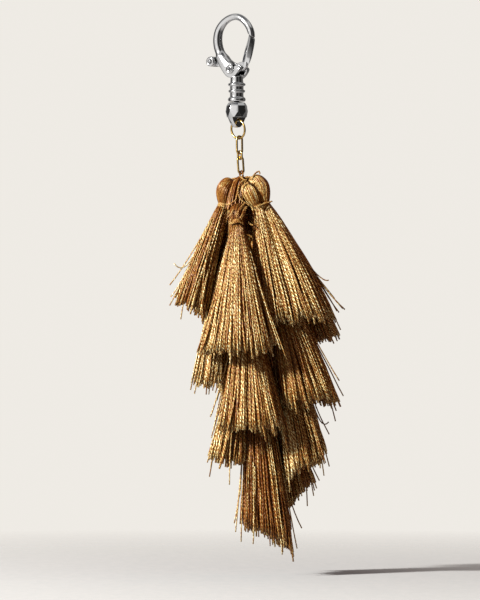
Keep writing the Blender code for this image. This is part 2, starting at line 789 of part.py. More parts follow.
def bindings(parts, silk) -> None:
    """The thread binding of each tassel, pressed in where it meets one listed before it."""
    for index, tassel in enumerate(TASSELS):
        ring = band(f"binding_{tassel.name}", tassel, 0.0, parts)
        for lower in TASSELS[:index]:
            ring = cut_if_near(ring, band("clear", lower, SOFT_GAP, parts))
        finish(ring, silk)


def main() -> None:
    """Build the whole charm."""
    clear_scene()
    parts = make_collection("silk_tassel")
    chrome = make_material("chrome", CHROME, 0.08, 1.0)
    brass = make_material("brass", BRASS, 0.25, 1.0)
    silk = make_material("gold_silk", GOLD_SILK, 0.55, 0.0)
    hook_body(parts, chrome)
    gate_rivet(parts, chrome)
    gate_lever(parts, chrome)
    swivel_barrel(parts, chrome)
    ring_and_chain(parts, brass)
    hanging_cord(parts, silk)
    tassels(parts, silk)
    bindings(parts, silk)


main()
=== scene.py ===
"""Silk tassel charm on a swivel snap hook: how it looks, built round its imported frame.

Lengths are in millimetres in the frame's own axes, +Z up and -Y the front, until a mesh is made, when MM
turns them into metres. The hook has a plane of its own, u across and z up, turned about the swivel's axis.
Every silk strand is a real tube that follows the skirt which its row of the tassels' table draws.
"""

import logging
import math
from collections.abc import Callable, Sequence
from dataclasses import dataclass, field
from enum import Enum

import bmesh
import bpy
import numpy as np
from mathutils import Matrix, Vector


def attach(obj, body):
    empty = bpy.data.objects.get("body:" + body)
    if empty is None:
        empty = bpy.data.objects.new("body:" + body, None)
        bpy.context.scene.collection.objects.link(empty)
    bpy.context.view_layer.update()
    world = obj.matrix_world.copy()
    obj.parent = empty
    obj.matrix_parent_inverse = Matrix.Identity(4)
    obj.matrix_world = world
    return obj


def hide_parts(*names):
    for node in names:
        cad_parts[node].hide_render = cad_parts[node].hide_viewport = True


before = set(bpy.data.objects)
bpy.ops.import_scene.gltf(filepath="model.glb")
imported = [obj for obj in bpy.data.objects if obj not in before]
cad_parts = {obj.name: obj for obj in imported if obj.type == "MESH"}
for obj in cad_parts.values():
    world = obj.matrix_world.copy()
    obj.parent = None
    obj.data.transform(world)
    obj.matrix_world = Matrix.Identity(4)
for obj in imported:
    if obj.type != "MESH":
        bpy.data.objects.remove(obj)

Array = np.ndarray
Point = tuple[float, float, float]
Flat = tuple[float, float]
Colour = tuple[float, float, float]
Socket = bpy.types.NodeSocket
Material = bpy.types.Material
Piece = bpy.types.Object

MM = 0.001
FULL_TURN = 2 * math.pi
INWARD = np.array((0.0, 1.0, 0.0))
"""Away from the front. No silk thread runs along it, so it can steady their sections."""
THREAD_MAP = "thread"
SEED = 1124
HEAD_SEED, BINDING_SEED, FAN_SEED = SEED + 100, SEED + 200, SEED + 300

log = logging.getLogger("silk_tassel")


class Body(Enum):
    """The frame's bodies that pieces ride on."""

    HOOK = "hook"
    GATE = "gate"
    SWIVEL = "swivel"


class Slot(Enum):
    """The record's material slots."""

    CHROME = "hook_chrome"
    BRASS = "chain_brass"
    SILK = "tassel_silk"
    THREAD = "silk_thread"


# ---- curves


def smooth_through(rows: Sequence, samples: int, closed: bool = False) -> Array:
    """Points on a smooth curve through rows: cubic spans, whose slope at a row is half its neighbours' step.

    Args:
        rows: The rows to pass through, each with any number of columns.
        samples: Points to each span.
        closed: Whether the curve runs from the last row back to the first.

    Returns:
        The points, one to a row.
    """
    knots = np.array(rows, float)
    count = len(knots)
    spans = np.arange(count if closed else count - 1)
    around = spans[:, None] + np.arange(-1, 3)
    around = around % count if closed else around.clip(0, count - 1)
    before, here, there, after = (knots[around[:, i]][:, None, :] for i in range(4))
    share = np.linspace(0.0, 1.0, samples, endpoint=False)[None, :, None]
    curve = (
        here
        + 0.5 * share * (there - before)
        + share**2 * (before - 2.5 * here + 2 * there - 0.5 * after)
        + share**3 * (-0.5 * before + 1.5 * here - 1.5 * there + 0.5 * after)
    ).reshape(-1, knots.shape[1])
    return curve if closed else np.vstack([curve, knots[-1:]])


def unit(vectors: Array) -> Array:
    """Vectors scaled to a length of one, along the last axis."""
    return vectors / np.linalg.norm(vectors, axis=-1, keepdims=True).clip(1e-12)


def sideways(run: Array) -> tuple[Array, Array]:
    """Unit vectors square to a unit run: one to its side, and one into its depth."""
    side = -unit(np.cross(INWARD, run))
    return side, np.cross(run, side)


def round_angles(sides: int) -> Array:
    """Even angles round a full turn, the first at nought."""
    return np.linspace(0.0, FULL_TURN, sides, endpoint=False)


def measure(paths: Array) -> Array:
    """How far along its path each point lies, for one path or many.

    Args:
        paths: Points of each path, along the axis before the last.

    Returns:
        The running length at each point.
    """
    steps = np.linalg.norm(np.diff(paths, axis=-2), axis=-1)
    start = np.zeros((*steps.shape[:-1], 1))
    return np.concatenate([start, steps.cumsum(axis=-1)], axis=-1)


# ---- meshes


def in_scene(name: str, data: bpy.types.ID) -> Piece:
    """Make an object of its data and link it to the scene."""
    made = bpy.data.objects.new(name, data)
    bpy.context.scene.collection.objects.link(made)
    return made


@dataclass
class Skin:
    """Surfaces gathered for one mesh.

    Attributes:
        points: Places in millimetres.
        faces: Arrays of corner indices, one row to a face, turning outwards.
        thread: For each array of faces, turns round the thread and millimetres along it, at each corner.
        dye_and_shade: At each point, how pale the thread is dyed, and how much painted shade it gets for how
            deep it lies in its bundle.
        count: How many points are gathered.
    """

    points: list[Array] = field(default_factory=list)
    faces: list[Array] = field(default_factory=list)
    thread: list[Array] = field(default_factory=list)
    dye_and_shade: list[Array] = field(default_factory=list)
    count: int = 0

    def add(
        self, points: Array, faces: Sequence[Array], thread: Sequence[Array] = (), dye_and_shade: Array | None = None
    ) -> None:
        """Add one surface.

        Args:
            points: Its places.
            faces: Its arrays of faces, counted from its own first point.
            thread: The thread map of each array of faces, or none for metal without one.
            dye_and_shade: Its paleness and painted shade at each point, or None for a plain middle paleness
                without painted shade.
        """
        self.points.append(points)
        self.faces.extend(rows + self.count for rows in faces)
        self.thread.extend(thread or [np.zeros((*rows.shape, 2)) for rows in faces])
        self.dye_and_shade.append(np.tile((0.5, 0.0), (len(points), 1)) if dye_and_shade is None else dye_and_shade)
        self.count += len(points)

    def build(self, name: str) -> Piece:
        """Make the mesh and its object, at the origin and shaded smooth.

        Args:
            name: Its name.

        Returns:
            The object.
        """
        mesh = bpy.data.meshes.new(name)
        points = np.concatenate(self.points) * MM
        corners = np.concatenate([rows.ravel() for rows in self.faces])
        sizes = np.concatenate([np.full(len(rows), rows.shape[1]) for rows in self.faces])
        mesh.vertices.add(len(points))
        mesh.vertices.foreach_set("co", points.astype(np.float32).ravel())
        mesh.loops.add(len(corners))
        mesh.loops.foreach_set("vertex_index", corners.astype(np.int32))
        mesh.polygons.add(len(sizes))
        starts = np.concatenate([[0], sizes.cumsum()[:-1]])
        mesh.polygons.foreach_set("loop_start", starts.astype(np.int32))
        mesh.update(calc_edges=True)
        spots = np.concatenate([rows.reshape(-1, 2) for rows in self.thread])
        mesh.uv_layers.new(name=THREAD_MAP).data.foreach_set("uv", spots.astype(np.float32).ravel())
        dye_and_shade = np.concatenate(self.dye_and_shade).astype(np.float32)
        # The attribute deep is painted shade for how deep a thread lies in its bundle.
        for column, title in enumerate(("pale", "deep")):
            shade = mesh.attributes.new(title, "FLOAT", "POINT")
            shade.data.foreach_set("value", np.ascontiguousarray(dye_and_shade[:, column]))
        mesh.validate()
        mesh.shade_smooth()
        return in_scene(name, mesh)


def grid_faces(rows: int, sides: int, closed_rows: bool = False) -> Array:
    """Four-cornered faces over a grid of rows that close on themselves, facing out of rings that turn left.

    Args:
        rows: How many rows of points.
        sides: Points to a row.
        closed_rows: Whether the last row joins the first.

    Returns:
        Corner indices, one face to a row.
    """
    corner = np.arange(rows * sides).reshape(rows, sides)
    ahead = np.roll(corner, -1, axis=0) if closed_rows else corner[1:]
    here = corner if closed_rows else corner[:-1]
    return np.stack([here, np.roll(here, -1, 1), np.roll(ahead, -1, 1), ahead], axis=-1).reshape(-1, 4)


def poled_faces(rows: int, sides: int) -> list[Array]:
    """Faces of a grid of closed rows with a fan to a pole at each end; the poles follow the grid's points.

    Args:
        rows: How many rows of points.
        sides: Points to a row.

    Returns:
        The walls, the fan at the first row and the fan at the last, one face to a row.
    """
    first = np.arange(sides)
    last = first + (rows - 1) * sides
    pole = np.full(sides, rows * sides)
    low = np.stack([pole, np.roll(first, -1), first], axis=-1)
    high = np.stack([pole + 1, last, np.roll(last, -1)], axis=-1)
    return [grid_faces(rows, sides), low, high]


def box_map(left: Array, right: Array, low: Array, high: Array) -> Array:
    """The thread map of four-cornered faces: their corners at left or right round and low or high along."""
    left, right, low, high = np.broadcast_arrays(left, right, low, high)
    corners = ((left, low), (right, low), (right, high), (left, high))
    return np.stack([np.stack(pair, axis=-1) for pair in corners], axis=-2)


def carry(
    skin: Skin, paths: Array, radius: Array, sides: int, aim: Array, dye_and_shade: Array | None = None
) -> None:
    """Carry a round section along many open paths: a point is path + radius (cos a side + sin a up).

    side is square to the path and to aim, and up is square to both. Both ends are closed.

    Args:
        skin: The surfaces to add to.
        paths: Points of each path, strands by steps by 3.
        radius: The thread's radius at each of those points.
        sides: Points round the section, an even number.
        aim: A direction that no path runs along, the same for all or one for each path.
        dye_and_shade: Paleness and painted shade of each path, strands by 2, or of each of its points,
            strands by steps by 2.
    """
    count, steps, _ = paths.shape
    along = unit(np.gradient(paths, axis=1))
    side = unit(np.cross(np.broadcast_to(aim, paths.shape), along))
    up = np.cross(along, side)
    angle = round_angles(sides)
    reach = np.cos(angle)[:, None] * side[:, :, None] + np.sin(angle)[:, None] * up[:, :, None]
    points = paths[:, :, None] + radius[:, :, None, None] * reach
    corner = np.arange(count * steps * sides).reshape(count, steps, sides)
    ahead = np.roll(corner, -1, axis=2)
    walls = np.stack([corner[:, :-1], ahead[:, :-1], ahead[:, 1:], corner[:, 1:]], axis=-1)
    length = measure(paths)[:, :, None]
    turn = np.arange(sides) / sides
    map_walls = box_map(turn, turn + 1 / sides, length[:, :-1], length[:, 1:])
    caps = np.concatenate([corner[:, 0, ::-1], corner[:, -1]])
    tip = np.concatenate([np.zeros(count), length[:, -1, 0]])
    map_caps = np.stack(np.broadcast_arrays(turn[None, :], tip[:, None]), axis=-1)
    if dye_and_shade is not None:
        at_points = dye_and_shade if dye_and_shade.ndim == 3 else np.repeat(dye_and_shade[:, None], steps, axis=1)
        dye_and_shade = np.repeat(at_points.reshape(-1, 2), sides, axis=0)
    faces = [walls.reshape(-1, 4), caps]
    skin.add(points.reshape(-1, 3), faces, [map_walls.reshape(-1, 4, 2), map_caps], dye_and_shade)


def turned(skin: Skin, profile: Array, place: Callable[[Array], Array], sides: int = 48) -> None:
    """Turn a profile about the z axis: a point is (radius cos a, radius sin a, z), with a pole at each end.

    Args:
        skin: The surfaces to add to.
        profile: Radius and z, from the top pole down the outside to the bottom pole.
        place: Moves the turned shape to where it goes.
        sides: Points round.
    """
    middle = profile[1:-1][::-1]
    angle = round_angles(sides)
    radius = middle[:, :1]
    height = np.repeat(middle[:, 1:], sides, 1)
    ring = np.stack([radius * np.cos(angle), radius * np.sin(angle), height], axis=-1)
    low = (0.0, 0.0, profile[-1, 1])
    high = (0.0, 0.0, profile[0, 1])
    points = np.vstack([ring.reshape(-1, 3), low, high])
    skin.add(place(points), poled_faces(len(middle), sides))


def closed_body(skin: Skin, ring: Array, poles: Array, spots: Array, dye_and_shade: Array | None = None) -> None:
    """Add a grid of rows that run down, closed to a pole at each end.

    Args:
        skin: The surfaces to add to.
        ring: Points, rows by sides by 3.
        poles: The upper pole and the lower.
        spots: The thread map at each point of the grid.
        dye_and_shade: The paleness and painted shade at every point, or None for a plain middle paleness
            without painted shade.
    """
    faces = [kind[:, ::-1] for kind in poled_faces(*ring.shape[:2])]
    flat = np.vstack([spots.reshape(-1, 2), np.zeros((2, 2))])
    points = np.vstack([ring.reshape(-1, 3), poles])
    shade = None if dye_and_shade is None else np.tile(dye_and_shade, (len(points), 1))
    skin.add(points, faces, [flat[rows] for rows in faces], shade)


def closed_loop(skin: Skin, line: Array, across: Array, radius: float, sides: int) -> None:
    """Carry a round section round a closed flat line: line + radius (cos a outwards + sin a across).

    Args:
        skin: The surfaces to add to.
        line: Points of the line, in order.
        across: The direction square to the line's plane.
        radius: The wire's radius.
        sides: Points round the wire.
    """
    along = unit(np.roll(line, -1, 0) - np.roll(line, 1, 0))
    outward = np.cross(along, across)
    angle = round_angles(sides)
    reach = np.cos(angle)[:, None] * outward[:, None] + np.sin(angle)[:, None] * -across
    points = line[:, None] + radius * reach
    faces = grid_faces(len(line), sides, closed_rows=True)
    length = np.append(measure(line), 0.0)
    length[-1] = length[-2] + np.linalg.norm(line[0] - line[-1])
    turn = np.arange(sides) / sides
    spots = box_map(turn, turn + 1 / sides, length[:-1, None], length[1:, None])
    skin.add(points.reshape(-1, 3), [faces], [spots.reshape(-1, 4, 2)])


def show(piece: Piece, finish: "Finish", body: Body, slot: Slot, *nodes: str) -> None:
    """Dress a piece, put it on its body and hide the frame's nodes that it stands for.

    Args:
        piece: The piece.
        finish: Its finish.
        body: The body that it rides on.
        slot: Its material slot; not used.
        nodes: The nodes, if it stands for any.
    """
    piece.data.materials.clear()
    piece.data.materials.append(finish.material())
    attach(piece, body.value)
    if nodes:
        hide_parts(*nodes)
    log.info("%s: %d faces on %s", piece.name, len(piece.data.polygons), body.value)


# ---- finishes


class Wiring:
    """Adds and joins the nodes of one shader tree."""

    def __init__(self, tree: bpy.types.NodeTree) -> None:
        """Work on a tree."""
        self.tree = tree

    def feed(self, socket: Socket, value: object) -> None:
        """Link an output to an input socket, or set the socket's own value."""
        if isinstance(value, Socket):
            self.tree.links.new(value, socket)
        else:
            socket.default_value = value

    def node(self, kind: str, inputs: dict | None = None, **settings: object) -> bpy.types.Node:
        """Add a node.

        Args:
            kind: Its Blender type.
            inputs: Values or outputs for its input sockets, by name or number.
            settings: Its own properties.

        Returns:
            The node.
        """
        made = self.tree.nodes.new(kind)
        for key, value in settings.items():
            setattr(made, key, value)
        for key, value in (inputs or {}).items():
            self.feed(made.inputs[key], value)
        return made

    def sum(self, operation: str, *terms: object) -> Socket:
        """Work out one number from others."""
        return self.node("ShaderNodeMath", dict(enumerate(terms)), operation=operation).outputs[0]

    def plus(self, first: object, second: object) -> Socket:
        """Add two numbers."""
        return self.sum("ADD", first, second)

    def times(self, first: object, second: object) -> Socket:
        """Multiply two numbers."""
        return self.sum("MULTIPLY", first, second)

    def place(self, x: object, y: object, z: object) -> Socket:
        """Put three numbers together as one place."""
        return self.node("ShaderNodeCombineXYZ", {0: x, 1: y, 2: z}).outputs[0]

    def spread(self, value: object, low: float, high: float, to_low: float, to_high: float) -> Socket:
        """Map a number from one range to another, held inside it."""
        inputs = {"Value": value, "From Min": low, "From Max": high, "To Min": to_low, "To Max": to_high}
        return self.node("ShaderNodeMapRange", inputs).outputs["Result"]

    def mix(self, share: object, first: object, second: object) -> Socket:
        """Mix two colours."""
        return self.node("ShaderNodeMix", {0: share, 6: first, 7: second}, data_type="RGBA").outputs[2]

    def ramp(self, value: object, stops: Sequence[tuple]) -> Socket:
        """Turn a value into a colour by a scale of colours.

        Args:
            value: The value.
            stops: Places from nought to one, in order, each with its colour.

        Returns:
            The colour.
        """
        made = self.node("ShaderNodeValToRGB", {0: value})
        elements = made.color_ramp.elements
        for _ in stops[2:]:
            elements.new(0.5)
        for element, (place, colour) in zip(elements, stops):
            element.position = place
            element.color = (*colour, 1.0)
        return made.outputs["Color"]

    def shaders(self, share: object, first: object, second: object) -> Socket:
        """Mix two shaders."""
        return self.node("ShaderNodeMixShader", {0: share, 1: first, 2: second}).outputs[0]

    def glow(self, colour: object, strength: object = 1.0) -> Socket:
        """A background shader."""
        return self.node("ShaderNodeBackground", {"Color": colour, "Strength": strength}).outputs[0]

    def noise(self, vector: object, scale: float, detail: float = 2.0) -> Socket:
        """Cloudy noise between nought and one."""
        inputs = {"Vector": vector, "Scale": scale, "Detail": detail}
        return self.node("ShaderNodeTexNoise", inputs).outputs["Fac"]

    def bump(self, height: object, strength: float, distance: float) -> Socket:
        """A normal that follows a height, whose distance is in millimetres."""
        inputs = {"Height": height, "Strength": strength, "Distance": distance * MM}
        return self.node("ShaderNodeBump", inputs).outputs["Normal"]


class MaterialWiring(Wiring):
    """The wiring of one material, whose surface is one Principled shader."""

    def __init__(self, name: str) -> None:
        """Start the material."""
        self.material = bpy.data.materials.new(name)
        self.material.use_nodes = True
        super().__init__(self.material.node_tree)

    def surface(self, **inputs: object) -> Material:
        """Feed the shader's sockets, named with underscores for spaces, and return the material."""
        shader = self.tree.nodes["Principled BSDF"]
        for key, value in inputs.items():
            self.feed(shader.inputs[key.replace("_", " ")], value)
        return self.material


class Finish:
    """A surface finish that makes its material once."""

    name: str

    def make(self) -> Material:
        """Build the material."""
        raise NotImplementedError

    def material(self) -> Material:
        """The finish's material, built on first use."""
        return bpy.data.materials.get(self.name) or self.make()


# The silk's colour scale; the value on it carries the thread's dye together with painted highlights and
# painted shade.
SHADES = (
    # Where a shade lies on the silk's scale from nought to one, and its colour: red brown, gold, pale straw.
    (0.0, (0.0, 0.0, 0.0)),
    (0.125, (0.15, 0.04, 0.004)),
    (0.25, (0.3, 0.16, 0.034)),
    (0.4167, (0.5, 0.41, 0.172)),
    (0.625, (0.75, 0.67, 0.38)),
    (1.0, (1.2, 1.1, 0.8)),
)
TOP_SHADE = 1.2
"""The shade that the scale's end stands for."""
THREAD_NUMBERS = 61.0
"""A thread's paleness times this is its own number, which sets its pitch, its start and how dull it is."""


@dataclass(frozen=True)
class SilkFinish(Finish):
    """Two-ply silk: crests with a painted highlight and furrows with painted shade wind round the thread, and
    each thread takes its own dye and painted shade.

    Attributes:
        name: The material's name.
        furrow: Painted shade between the plies.
        crest: Shade where the plies of the darkest threads crest: their dye with a painted highlight.
        pale: Shade where the plies of the palest threads crest: their dye with a painted highlight.
        pitch: Millimetres from one crest to the next along the thread.
        relief: How strongly the plies stand out.
        shade: How much painted shade darkens the threads that lie deep in a bundle.
        dull: How much darker the dullest thread is than the brightest.
        roughness: Roughness of the crests.
    """

    name: str
    furrow: float
    crest: float
    pale: float
    pitch: float = 1.5
    relief: float = 0.9
    shade: float = 0.72
    dull: float = 0.52
    roughness: float = 0.34

    def make(self) -> Material:
        """The ply wave is sin(4 pi turns + 2 pi millimetres / pitch), with a thread's own pitch and start;
        its crests are painted highlights and its furrows painted shade.

        Returns:
            The material.
        """
        wire = MaterialWiring(self.name)
        spot = wire.node("ShaderNodeUVMap", uv_map=THREAD_MAP).outputs[0]
        parts = wire.node("ShaderNodeSeparateXYZ", {0: spot}).outputs
        pale = wire.node("ShaderNodeAttribute", attribute_name="pale").outputs["Fac"]
        # The deep attribute is painted shade for how deep a thread lies in its bundle.
        deep = wire.node("ShaderNodeAttribute", attribute_name="deep").outputs["Fac"]
        turns = wire.times(parts[0], 2 * FULL_TURN)
        own = wire.times(pale, THREAD_NUMBERS)
        tightness = wire.spread(wire.sum("FRACT", own), 0.0, 1.0, 0.78, 1.25)
        along = wire.times(wire.times(parts[1], FULL_TURN / self.pitch), tightness)
        slip = wire.noise(wire.place(own, wire.times(parts[1], 0.22), 0.0), 1.0, 1.0)
        start = wire.plus(own, wire.times(slip, 14.0))
        phase = wire.plus(wire.plus(turns, along), start)
        ply = wire.spread(wire.sum("SINE", phase), -1.0, 1.0, 0.0, 1.0)
        fibre = wire.noise(wire.place(parts[0], wire.times(parts[1], 0.8), own), 1.7, 3.0)
        place = wire.node("ShaderNodeTexCoord").outputs["Object"]
        patch = wire.noise(place, 170.0)
        above = wire.spread(pale, 0.1, 0.9, self.crest - self.furrow, self.pale - self.furrow)
        # Painted highlight and shade: along the ply wave the colour runs from the dark furrow up to the pale
        # crest.
        lit = wire.times(ply, wire.spread(fibre, 0.34, 0.6, 0.15, 1.0))
        clean = wire.plus(self.furrow, wire.times(lit, above))
        draw = wire.sum("FRACT", wire.times(own, 1.7))
        dullness = wire.spread(draw, 0.0, 1.0, 1.0 - self.dull, 1.15)
        # Painted shade: threads deep in their bundle are darker.
        sunk_shade = wire.spread(deep, 0.0, 1.0, 1.0, 1.0 - self.shade)
        faded = wire.spread(patch, 0.3, 0.7, 0.82, 1.08)
        value = wire.times(clean, wire.times(faded, wire.times(sunk_shade, dullness)))
        colour = wire.ramp(wire.times(value, 1.0 / TOP_SHADE), SHADES)
        height = wire.plus(ply, wire.times(fibre, 0.6))
        return wire.surface(
            Base_Color=colour,
            Roughness=wire.spread(fibre, 0.25, 0.75, self.roughness - 0.06, self.roughness + 0.12),
            Normal=wire.bump(height, self.relief, 0.12),
            Metallic=0.12,
            Specular_IOR_Level=0.4,
            Specular_Tint=(1.0, 0.86, 0.62, 1.0),
            Sheen_Weight=0.03,
            Sheen_Roughness=0.4,
            Sheen_Tint=(1.0, 0.72, 0.4, 1.0),
        )


@dataclass(frozen=True)
class ChromeFinish(Finish):
    """Polished plate over a casting: faintly rippled, a little duller in patches, with painted shade in its
    corners.
    """

    name: str = "polished_chrome"
    colour: Colour = (0.72, 0.73, 0.75)
    # Colour of the painted shade in the corners.
    corner_shade: Colour = (0.16, 0.15, 0.14)

    def make(self) -> Material:
        """Painted shade in the corners is found by how closed in a point is within a millimetre.

        Returns:
            The material.
        """
        wire = MaterialWiring(self.name)
        place = wire.node("ShaderNodeTexCoord").outputs["Object"]
        ripple = wire.noise(place, 420.0, 1.0)
        patch = wire.noise(place, 1500.0, 4.0)
        closed = wire.node("ShaderNodeAmbientOcclusion", {"Distance": 1.0 * MM}, samples=6).outputs["AO"]
        # Painted shade: the colour darkens where the surface is closed in.
        colour = wire.mix(wire.spread(closed, 0.35, 0.8, 0.0, 1.0), (*self.corner_shade, 1.0), (*self.colour, 1.0))
        return wire.surface(
            Base_Color=colour,
            Metallic=1.0,
            Roughness=wire.spread(patch, 0.35, 0.7, 0.04, 0.13),
            Normal=wire.bump(ripple, 0.25, 0.08),
        )


@dataclass(frozen=True)
class BrassFinish(Finish):
    """Drawn brass wire: fine lines along it, warmer and duller where it is handled less."""

    name: str = "drawn_brass"
    bright: Colour = (0.66, 0.45, 0.16)
    dull: Colour = (0.36, 0.23, 0.06)

    def make(self) -> Material:
        """Lines run along the wire, because the noise is drawn out along the thread map's length.

        Returns:
            The material.
        """
        wire = MaterialWiring(self.name)
        spot = wire.node("ShaderNodeUVMap", uv_map=THREAD_MAP).outputs[0]
        parts = wire.node("ShaderNodeSeparateXYZ", {0: spot}).outputs
        lines = wire.noise(wire.place(wire.times(parts[0], 24.0), parts[1], 0.0), 1.0, 3.0)
        place = wire.node("ShaderNodeTexCoord").outputs["Object"]
        patch = wire.noise(place, 700.0, 3.0)
        handled = wire.spread(patch, 0.35, 0.65, 0.0, 1.0)
        return wire.surface(
            Base_Color=wire.mix(handled, (*self.dull, 1.0), (*self.bright, 1.0)),
            Metallic=1.0,
            Roughness=wire.spread(lines, 0.3, 0.7, 0.14, 0.34),
            Normal=wire.bump(lines, 0.2, 0.02),
        )


SILK = SilkFinish("twisted_silk", 0.12, 0.54, 1.05, pitch=1.7)
HEAD_SILK = SilkFinish("smooth_silk", 0.14, 0.38, 0.98, pitch=11.0, relief=0.4, roughness=0.3)
# Near black: painted shade for the inside of a bundle.
INSIDE_SHADE_SILK = SilkFinish("silk_inside_painted_shade", 0.03, 0.08, 0.12, shade=0.5)
BINDING_SILK = SilkFinish("binding_silk", 0.24, 0.52, 0.86, pitch=0.8, relief=0.7)
CHROME = ChromeFinish()
BRASS = BrassFinish()


# ---- tassels

SKIRT_BOW = 0.05
"""How far a leaning skirt bows outwards, as a share of its lean."""
FLUTE = 0.07
"""How far the skirt's folds stand out, as a share of its half width."""
FLUTES = ((3, 1.0, 0.6), (5, 2.3, 0.4))
"""Waves round a skirt: how many, their turn from one tassel to the next, and their weight."""
RAGGED = 1.1
"""How far the folds' ends hang below the middle of the cut end."""
WAIST_RADIUS = 2.0
HEAD_SHAPE = ((0.0, 0.3), (0.04, 0.6), (0.14, 0.86), (0.36, 1.0), (0.58, 0.97), (0.8, 0.82), (1.0, 0.56))
"""Share of the way from crown to waist, and share of the head's radius there."""
OUTLINE_STEPS = 721


@dataclass(frozen=True)
class TasselForm:
    """Sizes of one small tassel, as in the frame, and the skirt that they draw.

    Attributes:
        order: Its row in the table, which turns its folds.
        name: Its name in the frame's nodes.
        crown: Top of its head.
        waist: Middle of its waist.
        end: Middle of its cut end.
        half_wide: Half the skirt's width at the cut end.
        half_deep: Half its depth there.
        flare: Power by which the skirt opens; under one opens early.
        slant: How far the cut end drops from its left side to its right.
        rear: How far it drops from its front to its rear.
        head: The head's radius.
        pale: How pale its silk is on the whole, from nought to one: partly its dye, partly painted light and
            shade for how lit it hangs.
    """

    order: int
    name: str
    crown: Point
    waist: Point
    end: Point
    half_wide: float
    half_deep: float
    flare: float
    slant: float
    rear: float
    head: float
    pale: float

    def spine(self, share: Array) -> tuple[Array, Array, Array, Array]:
        """The skirt's middle line, bowed outwards, with the directions across it.

        Args:
            share: Shares of the way from waist to cut end.

        Returns:
            Middle points, and unit vectors to its side, into its depth and down its run.
        """
        skirt = np.subtract(self.end, self.waist)
        bow = skirt * (SKIRT_BOW, SKIRT_BOW, 0.0)
        share = np.asarray(share, float)[..., None]
        middle = self.waist + skirt * share + bow * 4 * share * (1 - share)
        run = unit(skirt + bow * 4 * (1 - 2 * share))
        return middle, *sideways(run), run

    def halves(self, share: Array) -> tuple[Array, Array]:
        """Half width and half depth down the skirt: the waist's radius, opening by share to the flare."""
        wide = np.clip(share, 0.0, None) ** self.flare
        return tuple(WAIST_RADIUS + (half - WAIST_RADIUS) * wide for half in (self.half_wide, self.half_deep))

    def fluting(self, angle: Array) -> Array:
        """The folds' height round the skirt: a sum of sines of whole numbers of turns."""
        return sum(weight * np.sin(waves * angle + turn * self.order) for waves, turn, weight in FLUTES)

    def place(self, share: Array, angle: Array, depth: Array) -> Array:
        """A point of the skirt: middle + swell (half wide cos a side + half deep sin a deep) + drop x run.

        Args:
            share: Shares of the way from waist to cut end.
            angle: Angles round the skirt.
            depth: Shares of the way from its middle to its outside.

        Returns:
            The points, in millimetres.
        """
        middle, side, deep, run = self.spine(share)
        half_u, half_v = self.halves(share)
        folds = self.fluting(angle)
        swell = depth * (1 + FLUTE * np.clip(share, 0.0, 1.2) * folds)
        lean = self.slant * np.cos(angle) * depth / 2 + self.rear * (1 - np.sin(angle) * depth) / 2
        drop = np.clip(share, 0.0, None) ** 2 * (RAGGED * folds + lean)
        across = (swell * half_u * np.cos(angle))[..., None] * side
        inward = (swell * half_v * np.sin(angle))[..., None] * deep
        return middle + across + inward + drop[..., None] * run

    def holds(self, points: Array, within: float) -> Array:
        """Whether points lie in the skirt or the head, drawn in to a share of their width.

        Args:
            points: The points, in millimetres.
            within: The share of the width that counts.

        Returns:
            True for each point inside.
        """
        skirt = np.subtract(self.end, self.waist)
        share = ((points - self.waist) @ skirt) / (skirt @ skirt)
        middle, side, deep, _ = self.spine(share.clip(0.0, 1.0))
        half_u, half_v = self.halves(share.clip(0.0, 1.0))
        off = points - middle
        reach = np.hypot((off * side).sum(-1) / half_u, (off * deep).sum(-1) / half_v)
        in_skirt = (share > 0.0) & (share < 0.96) & (reach < within)
        head = np.subtract(self.waist, self.crown)
        along = ((points - self.crown) @ head) / (head @ head)
        gap = np.linalg.norm(points - self.crown - along[..., None] * head, axis=-1)
        size = np.interp(along, *np.array(HEAD_SHAPE).T) * self.head
        return in_skirt | ((along > 0.0) & (along <= 1.0) & (gap < within * size))

    def outline_steps(self) -> tuple[Array, Array]:
        """Even angles round the cut end, and how fast its outline grows at each."""
        fine = np.linspace(0.0, FULL_TURN, OUTLINE_STEPS)
        return fine, np.hypot(self.half_wide * np.sin(fine), self.half_deep * np.cos(fine))

    def angle_table(self) -> Array:
        """The angle at each of many even steps along the outline of the cut end."""
        fine, step = self.outline_steps()
        length = np.concatenate([[0.0], ((step[1:] + step[:-1]) / 2).cumsum()])
        return np.interp(np.linspace(0.0, length[-1], OUTLINE_STEPS), length, fine)

    def outline_length(self) -> float:
        """Length round the cut end, in millimetres."""
        return float(self.outline_steps()[1].mean() * FULL_TURN)


